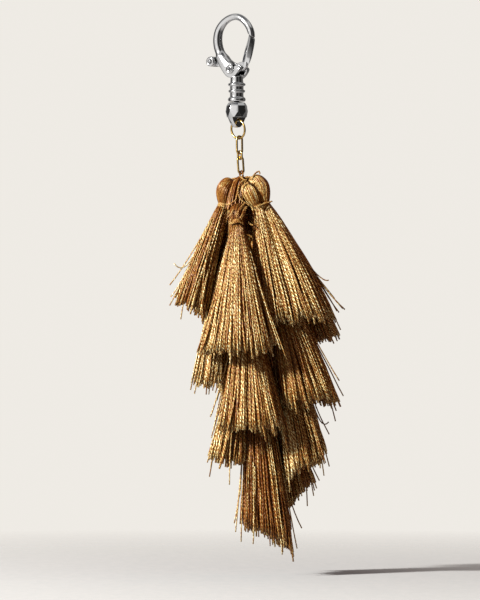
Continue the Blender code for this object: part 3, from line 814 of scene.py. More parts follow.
TASSEL_ROWS = (
    # name, crown, waist, end,
    # half wide, half deep, flare, slant, rear, head, pale (partly dye, partly painted light and shade): from
    # the lowest tassel up
    ("fifth_front", (8.8, -1.9, -142.5), (8.8, -4.8, -152.5), (12.6, -7, -206.2),
     10.1, 7.5, 0.42, 13, -0.5, 3.3, 0.18),
    ("fifth_right", (13, 1.6, -138.5), (16.3, 2.2, -148.5), (25.9, 3, -189.8),
     6.8, 7, 0.7, -10, 0, 3.3, 0.24),
    ("fifth_back", (10.4, 3.6, -148.5), (10.8, 4.4, -159.5), (14.3, 6, -203),
     8.6, 7.6, 0.7, 4, 0, 3.3, 0.3),
    ("fourth_left", (6.2, -2.3, -124), (4, -4.5, -134), (-2.9, -6, -176.4),
     7.2, 7.6, 0.7, 1, -0.8, 3.3, 0.62),
    ("fourth_right", (13.8, 1, -121), (18.8, -1, -131), (28.2, -5.5, -178.8),
     8.9, 8.4, 0.4, -8, 0.5, 3.3, 0.85),
    ("third_front", (4.7, -3, -102), (4.4, -7, -112.8), (6.2, -16, -163.8),
     13.4, 6.6, 0.8, 0, -3, 3.3, 0.6),
    ("third_back", (6.4, 3.2, -108), (6, 6, -119), (8, 13, -169.5),
     11.5, 8.6, 0.8, 0, 0, 3.3, 0.4),
    ("second_left", (1.4, 1.4, -76.5), (-1, -0.6, -87), (-9, -7, -146.2),
     7.6, 8.5, 0.8, -1, -1.5, 3.3, 0.8),
    ("second_right", (9, 0.8, -87), (12.9, -1.5, -96.8), (29.5, -7.5, -152.4),
     11.1, 9.2, 0.85, 2.5, 2, 3.3, 0.36),
    ("second_back", (4.4, 3.2, -84), (4, 4.8, -95), (7, 14.6, -148),
     15, 9.4, 0.85, 0, 0, 3.3, 0.4),
    ("front_middle", (1.2, -5.5, -74), (0.9, -9.3, -81), (2.4, -18.6, -133.2),
     15.8, 6.2, 1, -2, -3, 3.1, 0.68),
    ("upper_left", (-3.6, 0.2, -62.9), (-4.7, -0.5, -74.2), (-17.3, -3, -115.8),
     7, 8.6, 0.85, 3, -1.2, 3.1, 0.44),
    ("upper_right", (9, -0.9, -61.7), (11.7, -3.4, -73.8), (29.2, -5.6, -120),
     10.4, 10, 0.85, 3, 0.8, 3.45, 0.7),
    ("upper_centre", (4.2, -4.6, -65.4), (9, -5.2, -75), (17.4, -9.2, -121.6),
     9.8, 6.6, 0.85, 0, -0.8, 2.95, 0.7),
    ("upper_back", (5, 3.6, -62.2), (4.6, 6.6, -74.5), (8, 14.6, -119),
     11.6, 8.4, 0.9, 0, 0, 2.4, 0.5),
    ("back_left", (-0.8, 4.4, -65), (-2.2, 6.6, -76), (-8.2, 9.6, -116.6),
     7.4, 7.6, 0.9, 0, 0, 3, 0.5),
    ("back_right", (8.6, 3.8, -65.5), (10.8, 4.8, -76.5), (30.6, 6.4, -129.4),
     11.4, 8.6, 0.7, -1, 0, 3.2, 0.4),
)
FORMS = tuple(TasselForm(order, *row) for order, row in enumerate(TASSEL_ROWS))
STRAYS = {
    # Threads that stand away from a tassel: x and z of the end, and the side of the skirt that they leave.
    "upper_left": (
        (-26.2, -106, 176), (-26.4, -110.6, 170), (-21.2, -119.8, 150), (-12.8, -121.6, 95),
        (-24.4, -97.4, 172),
    ),
    "upper_right": (
        (44, -115.8, 4), (40.8, -116.4, 2), (39.4, -111.6, 6), (43.4, -115.4, 8), (42.6, -123.8, 2),
        (40.2, -125.6, 20), (41.6, -117, -8), (37.6, -104, 10),
    ),
    "front_middle": ((-16.4, -149.2, 172), (20.6, -135.6, 20)),
    "second_left": ((-17.6, -145, 168), (-11, -149.6, 120)),
    "second_right": ((43.4, -150.2, 4), (41.4, -144.2, 8), (40, -160.4, -14), (42, -152.6, -6)),
    "third_front": ((-9.4, -157.6, 178), (-9.8, -158.4, 176), (21, -172.4, 10)),
    "fourth_left": ((-9.8, -178.6, 160), (-2, -185.4, 100), (-10.8, -182.4, 172)),
    "fourth_right": (
        (37.4, -165.6, 5), (38, -178.4, -4), (35.6, -182, 20), (36.6, -172, 12),
        (37.8, -160.6, -10),
    ),
    "fifth_right": ((32.4, -188.2, 0), (29, -194.4, 30), (31.4, -190.6, -20)),
    "fifth_front": (
        (-0.4, -201, 178), (3.2, -208.2, 150), (7.2, -209, 110), (18.8, -213.2, 60),
        (24.8, -211, 20), (1.4, -190.6, 182), (26.4, -203, -6),
    ),
}
HEAD_PAINTED_SHADE = {"front_middle": 0.8, "upper_left": 0.34, "upper_right": -0.1, "upper_centre": -0.1}
# Painted shade on some heads and the tops of their skirts; less than nought paints them lighter.
"""How deep in shade some heads and the tops of their skirts are dyed; less than nought is lighter."""


def hidden(points: Array, form: TasselForm, within: float = 0.78) -> Array:
    """Whether points lie well inside another tassel than their own, where no one sees them.

    Args:
        points: The points, in millimetres.
        form: Their own tassel.
        within: Share of the other tassel's width that hides.

    Returns:
        True for each hidden point.
    """
    found = np.zeros(points.shape[:-1], bool)
    for other in FORMS:
        if other is not form:
            found |= other.holds(points, within)
    return found


CORE = (
    # The hanging cord's middle, from its knot down through the tiers.
    (2.6, -0.4, -63.4), (3.2, 0, -75), (3.8, 0, -88), (5.2, 0.2, -102), (6.6, 0.3, -115),
    (8.2, 0.3, -130), (9.5, 0.9, -144),
)


def cord_beside(crown: Array) -> Array:
    """The place on the hanging cord's core where a crown's tie begins, a little above the crown."""
    core = np.array(CORE)
    level = min(max(crown[2] + 1.6, core[-1, 2] + 1.5), core[0, 2])
    return np.array([np.interp(-level, -core[:, 2], core[:, axis]) for axis in range(3)])


@dataclass
class Skirt:
    """The hanging strands of one tassel, laid in layers over an inside dark with painted shade.

    Attributes:
        form: The tassel's sizes.
        strand: Radius of a strand.
        spacing: Millimetres from strand to strand round a layer at the cut end.
        layers: Layers of whole strands.
        sink: Millimetres from one layer to the next inwards.
        inset: How far the outermost layer lies inside the skirt's outline.
        steps: Points along a whole strand, less one.
        lock: Millimetres round the cut end to each lock of strands that draw together.
        fill: Share of the cut end's area that short inner strands take.
        gather: How far a strand is drawn to its lock at the cut end.
        wild: Share of the strands that hang free of their lock.
        uneven: Spread of the strands' lengths, as a share of the skirt.
        drift: Spread of the way that they wander round it, as a share of a turn.
        stray: Radius of a stray thread, as a share of a strand's.
        more_strays: Stray threads beyond the listed ones.
    """

    form: TasselForm
    strand: float = 0.39
    spacing: float = 1.12
    layers: int = 5
    sink: float = 0.56
    inset: float = 0.42
    steps: int = 11
    lock: float = 2.9
    fill: float = 0.5
    gather: float = 0.42
    wild: float = 0.14
    uneven: float = 0.014
    drift: float = 0.013
    stray: float = 0.62
    more_strays: int = 8

    def __post_init__(self) -> None:
        """Give the skirt its own random numbers."""
        self.rng = np.random.default_rng(SEED + self.form.order)

    def shares(self, start: Array, stop: Array, steps: int) -> Array:
        """Even steps from each strand's start to its stop, as shares of the way down."""
        return start[:, None] + (stop - start)[:, None] * np.linspace(0.0, 1.0, steps + 1)

    def seen_from(self, spot: Array, depth: Array, table: Array) -> tuple[Array, Array]:
        """Where each strand comes out of the other tassels.

        Args:
            spot: Shares of the way round.
            depth: Shares of the way out from the middle.
            table: Angle by share of the way round.

        Returns:
            The share at which each strand is first seen, and whether it is seen at all.
        """
        tries = np.linspace(0.0, 1.0, 21)
        angle = np.interp(spot, np.linspace(0.0, 1.0, len(table)), table)
        share = np.broadcast_to(tries, (len(spot), len(tries)))
        points = self.form.place(share, angle[:, None], depth[:, None])
        open_air = ~hidden(points, self.form)
        first = tries[open_air.argmax(axis=1)]
        return (first - 0.12).clip(0.0, None), open_air.any(axis=1)

    def whole_strands(self, skin: Skin) -> None:
        """Lay the strands from waist to cut end: each keeps its place round the skirt, drawn to its lock.

        Args:
            skin: The surfaces to add to.
        """
        form, rng = self.form, self.rng
        count = int(self.layers * form.outline_length() / self.spacing)
        spot = rng.random(count)
        table = form.angle_table()
        layer = rng.integers(0, self.layers, count)
        mean_half = (form.half_wide + form.half_deep) / 2
        sink = self.inset + layer * self.sink + rng.uniform(0.0, 0.3, count)
        depth = 1.0 - sink / mean_half
        locks = max(6, round(form.outline_length() / self.lock))
        centres = (np.arange(locks) + rng.uniform(-0.3, 0.3, locks)) / locks
        nearest = np.abs((spot[:, None] - centres + 0.5) % 1.0 - 0.5).argmin(axis=1)
        pull = (centres[nearest] - spot + 0.5) % 1.0 - 0.5
        raised = rng.normal(0.0, 0.03, locks)[nearest]
        cut = 0.99 + rng.normal(0.0, 0.012, locks)[nearest] + rng.normal(0.0, self.uneven, count)
        wild = rng.random(count) < self.wild
        cut += np.where(wild, rng.exponential(0.024, count), 0.0)
        drift = rng.normal(0.0, self.drift, count) + np.where(wild, rng.normal(0.0, 0.05, count), 0.0)
        start, seen = self.seen_from(spot, depth, table)
        share = self.shares(start, cut, self.steps)
        gather = self.gather * share.clip(0.0, 1.0) ** 1.3
        way = (spot[:, None] + gather * pull[:, None] + drift[:, None] * share) % 1.0
        angle = np.interp(way, np.linspace(0.0, 1.0, len(table)), table)
        lift = raised[:, None] * share + np.where(wild, 0.05, 0.0)[:, None] * share**2
        splay = rng.exponential(0.014, count)[:, None] * share**4
        paths = form.place(share, angle, depth[:, None] + lift + splay)
        paths += self.waver(share)
        thick = self.strand * rng.normal(1.0, 0.13, count).clip(0.65, 1.35)
        taper = 0.52 + 0.48 * np.clip(share / 0.35, 0.0, 1.0)
        taper[:, -1] *= 0.7
        pale = (0.6 * rng.random(count) + 0.4 * rng.random(locks)[nearest] + form.pale - 0.5).clip(0.0, 1.0)
        # Painted shade: deeper layers and locks that sink inward are darker, less so near the tips.
        deep = ((layer + 0.5) / self.layers).clip(0.0, 1.0) ** 1.3 - 6.0 * raised.clip(None, 0.0)
        fade = 1.0 - 0.75 * ((share - 0.78) / 0.2).clip(0.0, 1.0)
        sunk_shade = np.where(wild, 0.0, deep.clip(0.0, 1.0))[:, None] * fade
        # Painted shade on the top of some skirts, just under their heads.
        sunk_shade = np.maximum(sunk_shade, HEAD_PAINTED_SHADE.get(form.name, 0.0) * (1.15 - share / 0.24).clip(0.0, 1.0))
        dye_and_shade = np.stack([np.broadcast_to(pale[:, None], sunk_shade.shape), sunk_shade], axis=-1)
        carry(skin, paths[seen], (thick[:, None] * taper)[seen], 4, INWARD, dye_and_shade[seen])

    def waver(self, share: Array) -> Array:
        """A slow wave to each strand and a bend that grows towards its end, both sideways and in depth.

        Args:
            share: Shares of the way down, strands by steps.

        Returns:
            What to add to the strands' points.
        """
        rng = self.rng
        count = len(share)
        _, side, deep, _ = self.form.spine(share)
        found = np.zeros((*share.shape, 3))
        for across in (side, deep):
            waves = rng.uniform(1.2, 3.4, (count, 1))
            phase = rng.uniform(0.0, FULL_TURN, (count, 1))
            size = rng.uniform(0.05, 0.26, (count, 1)) * np.clip(share * 5, 0.0, 1.0)
            bend = rng.normal(0.0, 0.45, (count, 1)) * share**2
            found += (size * np.sin(FULL_TURN * waves * share + phase) + bend)[..., None] * across
        return found

    def short_strands(self, skin: Skin) -> None:
        """Fill the cut end with the ends of the inner strands, spread evenly over its area.

        Args:
            skin: The surfaces to add to.
        """
        form, rng = self.form, self.rng
        area = math.pi * form.half_wide * form.half_deep
        count = int(self.fill * area / (4 * self.strand**2))
        spot = rng.random(count)
        depth = 0.88 * np.sqrt(rng.random(count))
        angle = spot * FULL_TURN
        stop = 0.965 + rng.normal(0.0, 0.012, count)
        tips = form.place(stop, angle, depth)
        seen = ~hidden(tips, form, 0.9)
        start = np.full(count, 0.8)
        share = self.shares(start, stop, 2)
        paths = form.place(share, angle[:, None], depth[:, None])
        paths += self.waver(share)
        # The inner ends get some painted shade.
        dye_and_shade = np.stack([rng.random(count) * 0.5 + form.pale / 2, rng.uniform(0.1, 0.5, count)], axis=-1)
        thick = np.full(share.shape, self.strand * 0.95)
        carry(skin, paths[seen], thick[seen], 4, INWARD, dye_and_shade[seen])

    def strays(self, skin: Skin) -> None:
        """Thin threads that leave the skirt and end away from it, at the listed places and at others.

        Args:
            skin: The surfaces to add to.
        """
        form, rng = self.form, self.rng
        rows = np.array(STRAYS.get(form.name, ())).reshape(-1, 3)
        listed = len(rows)
        count = listed + self.more_strays
        angle = rng.uniform(0.0, FULL_TURN, count)
        angle[:listed] = np.radians(rows[:, 2])
        begin = rng.uniform(0.1, 0.5, count)
        share = self.shares(begin, np.full(count, 1.0), self.steps)
        turn = angle[:, None] + rng.normal(0.0, 0.05, (count, 1)) * share
        paths = form.place(share, turn, np.full(share.shape, 1.01))
        tips = paths[:, -1]
        _, side, deep, run = form.spine(np.array(1.0))
        out = np.cos(angle)[:, None] * side + np.sin(angle)[:, None] * deep
        reach = rng.uniform(0.2, 2.4, (count, 1)) * out + rng.uniform(0.3, 3.4, (count, 1)) * run
        reach[:listed] = (rows[:, [0, 0, 1]] - tips[:listed]) * (1, 0, 1)
        gone = (share - begin[:, None]) / (1.0 - begin[:, None])
        paths += reach[:, None] * (gone ** rng.uniform(1.6, 3.4, (count, 1)))[..., None]
        paths += 0.5 * self.waver(share)
        seen = ~hidden(paths[:, -1], form, 1.0)
        dye_and_shade = np.stack([rng.uniform(0.2, 1.0, count), np.zeros(count)], axis=-1)
        thick = np.full(share.shape, self.strand * self.stray)
        carry(skin, paths[seen], thick[seen], 4, INWARD, dye_and_shade[seen])

    def inside(self) -> Skin:
        """The body under the strands, dark with painted shade: the skirt drawn in, from the waist to just
        above the cut.

        Returns:
            Its surface.
        """
        rows = np.array((0.0, 0.06, 0.15, 0.3, 0.45, 0.6, 0.75, 0.88, 0.93))
        draw_in = np.array((0.7, 0.74, 0.78, 0.8, 0.8, 0.8, 0.8, 0.78, 0.5))
        sides = 48
        share, around = np.meshgrid(rows, round_angles(sides), indexing="ij")
        ring = self.form.place(share, around, np.repeat(draw_in[:, None], sides, 1))
        length = share * np.linalg.norm(np.subtract(self.form.end, self.form.waist))
        skin = Skin()
        poles = self.form.spine(rows[[0, -1]])[0]
        closed_body(skin, ring, poles, np.stack([around / FULL_TURN * sides, length], axis=-1))
        return skin

    def build(self) -> None:
        """Make the strands and the inside, and put both on the swivel."""
        skin = Skin()
        self.whole_strands(skin)
        self.short_strands(skin)
        self.strays(skin)
        name = self.form.name
        show(skin.build(f"strands_{name}"), SILK, Body.SWIVEL, Slot.SILK, f"tassel_{name}")
        show(self.inside().build(f"inside_{name}"), INSIDE_SHADE_SILK, Body.SWIVEL, Slot.SILK)


@dataclass
class Head:
    """A tassel's round head: strands drawn from a pole, which leans to the cord, over a ball to the waist.

    Attributes:
        form: The tassel's sizes.
        strand: Radius of a strand.
        steps: Points along a strand, less one.
        twist: How far round the strands turn from pole to waist, in turns.
        lean: Share of the way that the pole leans from the head's own axis to the cord.
        heart: Share of the way from crown to waist at which the ball's middle lies.
    """

    form: TasselForm
    strand: float = 0.25
    steps: int = 16
    twist: float = 0.05
    lean: float = 0.55
    heart: float = 0.42

    def __post_init__(self) -> None:
        """Give the head its own random numbers."""
        self.rng = np.random.default_rng(HEAD_SEED + self.form.order)

    def frame(self) -> tuple[Array, Array, Array, Array]:
        """Crown, and the directions down to the waist, to the side and into the depth."""
        down = np.subtract(self.form.waist, self.form.crown)
        return np.array(self.form.crown), down, *sideways(unit(down))

    def place(self, share: Array, angle: Array, proud: Array) -> Array:
        """A point of the head: crown + share x down + (radius + proud)(cos a side + sin a deep), then leaned.

        The lean turns a point about the ball's middle, fully at the pole and less and less down to the waist.

        Args:
            share: Shares of the way from pole to waist.
            angle: Angles round the head.
            proud: How far outside the ball.

        Returns:
            The points, in millimetres.
        """
        crown, down, side, deep = self.frame()
        shape = smooth_through(HEAD_SHAPE, 8)
        radius = np.interp(share, shape[:, 0], shape[:, 1]) * self.form.head + proud
        middle = crown + self.heart * down
        off = (
            (share[..., None] - self.heart) * down
            + (radius * np.cos(angle))[..., None] * side
            + (radius * np.sin(angle))[..., None] * deep
        )
        aim = unit(cord_beside(crown) - middle)
        rise = -unit(down)
        hinge = unit(np.cross(rise, aim))
        most = math.acos(float(np.clip(rise @ aim, -1.0, 1.0))) * self.lean
        fade = 1.0 - np.clip(share / 0.85, 0.0, 1.0)
        turn = (most * fade**2 * (3 - 2 * fade))[..., None]
        turned_off = off * np.cos(turn) + np.cross(hinge, off) * np.sin(turn)
        return middle + turned_off + hinge * (off @ hinge)[..., None] * (1 - np.cos(turn))

    def pole(self) -> Array:
        """Where the head hangs from its tie."""
        return self.place(np.array(0.0), np.array(0.0), np.array(-0.3 * self.form.head))

    def build(self) -> None:
        """Make two layers of strands over a closed ball, the lower layer with deeper painted shade."""
        rng = self.rng
        skin = Skin()
        count = int(FULL_TURN * self.form.head / (1.55 * self.strand))
        share = np.broadcast_to(np.linspace(0.0, 1.0, self.steps + 1) ** 1.25, (count, self.steps + 1))
        arch = np.sin(math.pi * share)
        thick = self.strand * (0.55 + 0.45 * arch**0.5)
        for proud, sunk_shade in ((-0.3, 0.4), (-0.12, 0.0)):
            start = round_angles(count) + rng.uniform(-0.06, 0.06, count)
            turn = self.twist * FULL_TURN * share
            wander = rng.normal(0.0, 0.07, (count, 1)) * arch
            lift = proud + rng.normal(0.0, 0.07, (count, 1)) * arch
            paths = self.place(share, start[:, None] + turn + wander, lift)
            seen = ~hidden(paths, self.form, 0.9).all(axis=1)
            pale = 0.5 * rng.random(count) + 0.7 * self.form.pale - 0.1
            # Painted shade: the head's own value from the table, deeper for the lower layer.
            deep = HEAD_PAINTED_SHADE.get(self.form.name, 0.1) + sunk_shade
            dye_and_shade = np.stack([pale, np.full(count, deep)], axis=-1)
            carry(skin, paths[seen], thick[seen], 4, INWARD, dye_and_shade[seen])
        self.ball(skin)
        show(skin.build(f"head_{self.form.name}"), HEAD_SILK, Body.SWIVEL, Slot.SILK)

    def ball(self, skin: Skin) -> None:
        """Add the closed ball under the strands.

        Args:
            skin: The surfaces to add to.
        """
        share, around = np.meshgrid(np.linspace(0.02, 1.0, 14), round_angles(28), indexing="ij")
        ring = self.place(share, around, np.full(share.shape, -0.42))
        crown, down, _, _ = self.frame()
        spots = np.stack([around / FULL_TURN * 30, share * 10], axis=-1)
        # The ball under the strands gets a deep painted shade.
        closed_body(skin, ring, np.stack([crown, crown + down]), spots, np.array((0.3, 0.7)))


def wind(
    skin: Skin, middle: Array, ways: Sequence, reach: Sequence, angle: Array, rise: Array, **yarn: float
) -> None:
    """Lay one ply of a winding: middle + reach cos a x first way + reach sin a x second + rise x third.

    Args:
        skin: The surfaces to add to.
        middle: The winding's middle.
        ways: Two unit vectors across it and one along its axis.
        reach: How far out it lies along each of the first two ways.
        angle: Angles round.
        rise: How far along the axis.
        yarn: The thread's radius, and pale for how pale it is dyed.
    """
    out = (reach[0] * np.cos(angle))[:, None] * ways[0] + (reach[1] * np.sin(angle))[:, None] * ways[1]
    path = middle + out + rise[:, None] * ways[2]
    dye_and_shade = np.array([[yarn["pale"], 0.0]])
    carry(skin, path[None], np.full((1, len(path)), yarn["radius"]), 4, ways[2], dye_and_shade)


@dataclass
class Binding:
    """Thread wound round a tassel's waist.

    Attributes:
        form: The tassel's sizes.
        thread: Radius of the thread.
        turns: How many times it goes round.
        high: Height of the winding.
    """

    form: TasselForm
    thread: float = 0.2
    turns: int = 5
    high: float = 1.5

    def build(self) -> None:
        """Two plies of a helix about the waist's own axis, wavering a little."""
        rng = np.random.default_rng(BINDING_SEED + self.form.order)
        run = unit(np.subtract(self.form.end, self.form.waist))
        down = unit(np.subtract(self.form.waist, self.form.crown))
        axis = unit(run + down)
        ways = (*sideways(axis), axis)
        skin = Skin()
        angle = np.linspace(0.0, self.turns * FULL_TURN, self.turns * 22)
        share = angle / angle[-1] - 0.5
        for ply in range(2):
            wave = 0.1 * np.sin(angle * 0.77 + ply + rng.uniform(0.0, FULL_TURN))
            radius = WAIST_RADIUS + 0.12 + 0.1 * np.sin(angle * 1.3 + ply * 2.1) - 0.5 * np.abs(share) ** 3
            yarn = {"radius": self.thread, "pale": rng.uniform(0.3, 0.9)}
            turn, rise = angle + ply * math.pi, share * self.high + wave
            wind(skin, np.array(self.form.waist), ways, (radius, radius), turn, rise, **yarn)
        name = self.form.name
        show(skin.build(f"binding_thread_{name}"), BINDING_SILK, Body.SWIVEL, Slot.THREAD, f"binding_{name}")


# ---- shapes given by distance


def nearest_on(start: Array, stop: Array, across: Array, up: Array) -> tuple[Array, Array]:
    """The share of a flat run at which points lie nearest to it, and how far from it they lie.

    Args:
        start: The run's first end.
        stop: Its other end.
        across: The points' first measure.
        up: Their second.

    Returns:
        The shares and the distances.
    """
    run = stop - start
    off_u, off_z = across - start[0], up - start[1]
    share = ((off_u * run[0] + off_z * run[1]) / (run @ run)).clip(0.0, 1.0)
    return share, np.hypot(off_u - share * run[0], off_z - share * run[1])


def outline_distance(across: Array, up: Array, outline: Array) -> Array:
    """How far points lie outside a closed flat outline, less than nought inside it.

    Args:
        across: The points' first measure.
        up: Their second.
        outline: The outline's corners in order.

    Returns:
        The distances, shaped as the points are.
    """
    best = np.full(across.shape, np.inf)
    inside = np.zeros(across.shape, bool)
    for start, stop in zip(outline, np.roll(outline, -1, axis=0)):
        best = np.minimum(best, nearest_on(start, stop, across, up)[1])
        crosses = (start[1] > up) != (stop[1] > up)
        run = stop - start
        if run[1] != 0.0:
            inside ^= crosses & (across - start[0] < (up - start[1]) * run[0] / run[1])
    return np.where(inside, -best, best)


def shifted(grid: Array, offset: tuple[int, int, int], shape: tuple[int, ...]) -> Array:
    """One corner of each box of a grid, as an array of the boxes' shape."""
    return grid[tuple(slice(start, start + size) for start, size in zip(offset, shape))]


def slab(flat: Array, off: Array, half: float | Array, edge: float) -> Array:
    """Distance to a plate of an outline's distance and a half thickness, with its edges rounded.

    Args:
        flat: Distance to the outline.
        off: Distance from the plate's middle plane, on either side.
        half: Half its thickness.
        edge: Radius of its edges.

    Returns:
        The distances.
    """
    first = flat + edge
    second = np.abs(off) - half + edge
    outside = np.hypot(first.clip(0.0), second.clip(0.0))
    return outside + np.minimum(np.maximum(first, second), 0.0) - edge


def bar_distance(points: Array, path: Array, radius: Array) -> Array:
    """Distance to a round bar along a path, whose radius runs evenly from point to point.

    Args:
        points: The points, in millimetres.
        path: Points along the bar's middle.
        radius: Its radius at each.

    Returns:
        The distances.
    """
    best = np.full(points.shape[:-1], np.inf)
    for start, stop, first, second in zip(path[:-1], path[1:], radius[:-1], radius[1:]):
        run = stop - start
        off = points - start
        share = ((off @ run) / (run @ run)).clip(0.0, 1.0)
        gap = np.linalg.norm(off - share[..., None] * run, axis=-1)
        best = np.minimum(best, gap - first - (second - first) * share)
    return best


def fuse(first: Array, second: Array, soft: float) -> Array:
    """The two solids as one, with a fillet of about this size where they meet."""
    near = (soft - np.abs(first - second)).clip(0.0) / soft
    return np.minimum(first, second) - near**2 * soft / 4


def cut(first: Array, second: Array, soft: float) -> Array:
    """The first solid less the second, with the edge between them broken by about this size."""
    return -fuse(-first, second, soft)


def skin_of(distance: Callable[[Array], Array], low: Point, high: Point, step: float) -> tuple[Array, Array]:
    """The skin where a distance is nought: one point in each box that the skin crosses, four to a face.

    Args:
        distance: Gives the distance at points.
        low: Lowest corner of the grid.
        high: Its highest corner.
        step: Size of a box.

    Returns:
        Points moved on to the skin itself, and four-cornered faces that turn outwards.
    """
    counts = [int(math.ceil((top - bottom) / step)) + 1 for bottom, top in zip(low, high)]
    axes = [bottom + step * np.arange(count) for bottom, count in zip(low, counts)]
    nodes = np.stack(np.meshgrid(*axes, indexing="ij"), axis=-1)
    value = distance(nodes)
    inside = value < 0.0
    shape = tuple(count - 1 for count in counts)
    corners = [(i, j, k) for i in (0, 1) for j in (0, 1) for k in (0, 1)]
    total = sum(shifted(inside, offset, shape).astype(int) for offset in corners)
    crossed = (total > 0) & (total < 8)
    place = np.zeros((*shape, 3))
    hits = np.zeros(shape)
    for offset in corners:
        for axis in range(3):
            if offset[axis]:
                continue
            ahead = tuple(start + (axis == a) for a, start in enumerate(offset))
            here, there = shifted(value, offset, shape), shifted(value, ahead, shape)
            hit = ((here < 0.0) != (there < 0.0)) & crossed
            share = np.where(hit, here / np.where(hit, here - there, 1.0), 0.0)
            spot = np.array(offset, float) + share[..., None] * np.eye(3)[axis]
            place += np.where(hit[..., None], spot, 0.0)
            hits += hit
    index = np.full(shape, -1)
    index[crossed] = np.arange(crossed.sum())
    cell = np.stack(np.nonzero(crossed), axis=-1)
    points = np.array(low) + step * (cell + place[crossed] / hits[crossed][:, None])
    faces = []
    for axis in range(3):
        first, second = (axis + 1) % 3, (axis + 2) % 3
        rolled = np.moveaxis(inside, (axis, first, second), (0, 1, 2))
        cells = np.moveaxis(index, (axis, first, second), (0, 1, 2))
        here, there = rolled[:-1, 1:-1, 1:-1], rolled[1:, 1:-1, 1:-1]
        around = (cells[:, :-1, :-1], cells[:, 1:, :-1], cells[:, 1:, 1:], cells[:, :-1, 1:])
        quads = np.stack(around, axis=-1)
        faces.append(quads[here & ~there])
        faces.append(quads[~here & there][:, ::-1])
    for _ in range(3):
        points = points - pull_to_skin(distance, points)
    return points, np.concatenate(faces)


def pull_to_skin(distance: Callable[[Array], Array], points: Array) -> Array:
    """The step from each point to the skin: its distance along the steepest way, by small differences.

    Args:
        distance: Gives the distance at points.
        points: Points near the skin.

    Returns:
        What to take away.
    """
    reach, farthest = 0.02, 0.15
    sides = [distance(points + reach * way) - distance(points - reach * way) for way in np.eye(3)]
    slope = np.stack(sides, axis=-1) / (2 * reach)
    steep = (slope**2).sum(axis=-1, keepdims=True).clip(0.2)
    return (distance(points)[:, None] * slope / steep).clip(-farthest, farthest)


# ---- snap hook

HOOK_TURN = math.radians(35.0)
"""How far the hook's plane is turned about the swivel's axis, its right side towards the front."""
STEM_AXIS = (0.7, -0.49)
"""x and y of the swivel's axis."""
RIVET = (-1.37, -19.7)
"""u and z of the rivet."""


def stand_in_hook(points: Array) -> Array:
    """Turn points from the hook's own plane (u, into the depth, z) to their place about the swivel's axis."""
    u, deep, up = points.T
    cos, sin = math.cos(HOOK_TURN), math.sin(HOOK_TURN)
    return np.stack([STEM_AXIS[0] + u * cos + deep * sin, STEM_AXIS[1] - u * sin + deep * cos, up], axis=-1)


def lie_across(place: Flat) -> Callable[[Array], Array]:
    """A placing for a turned piece that lies across the hook's plane at a u and z."""
    start = (place[0], 0.0, place[1])
    return lambda points: stand_in_hook(start + points[:, (0, 2, 1)] * (1.0, -1.0, 1.0))


def from_rivet(u: Array, z: Array) -> Array:
    """How far points lie from the rivet's axis."""
    return np.hypot(u - RIVET[0], z - RIVET[1])


def mirrored_profile(half: Sequence[Flat]) -> Array:
    """A profile's upper half, given from its pole down, with its lower half added."""
    upper = np.array(half)
    return np.vstack([upper, upper[::-1] * (1.0, -1.0)])


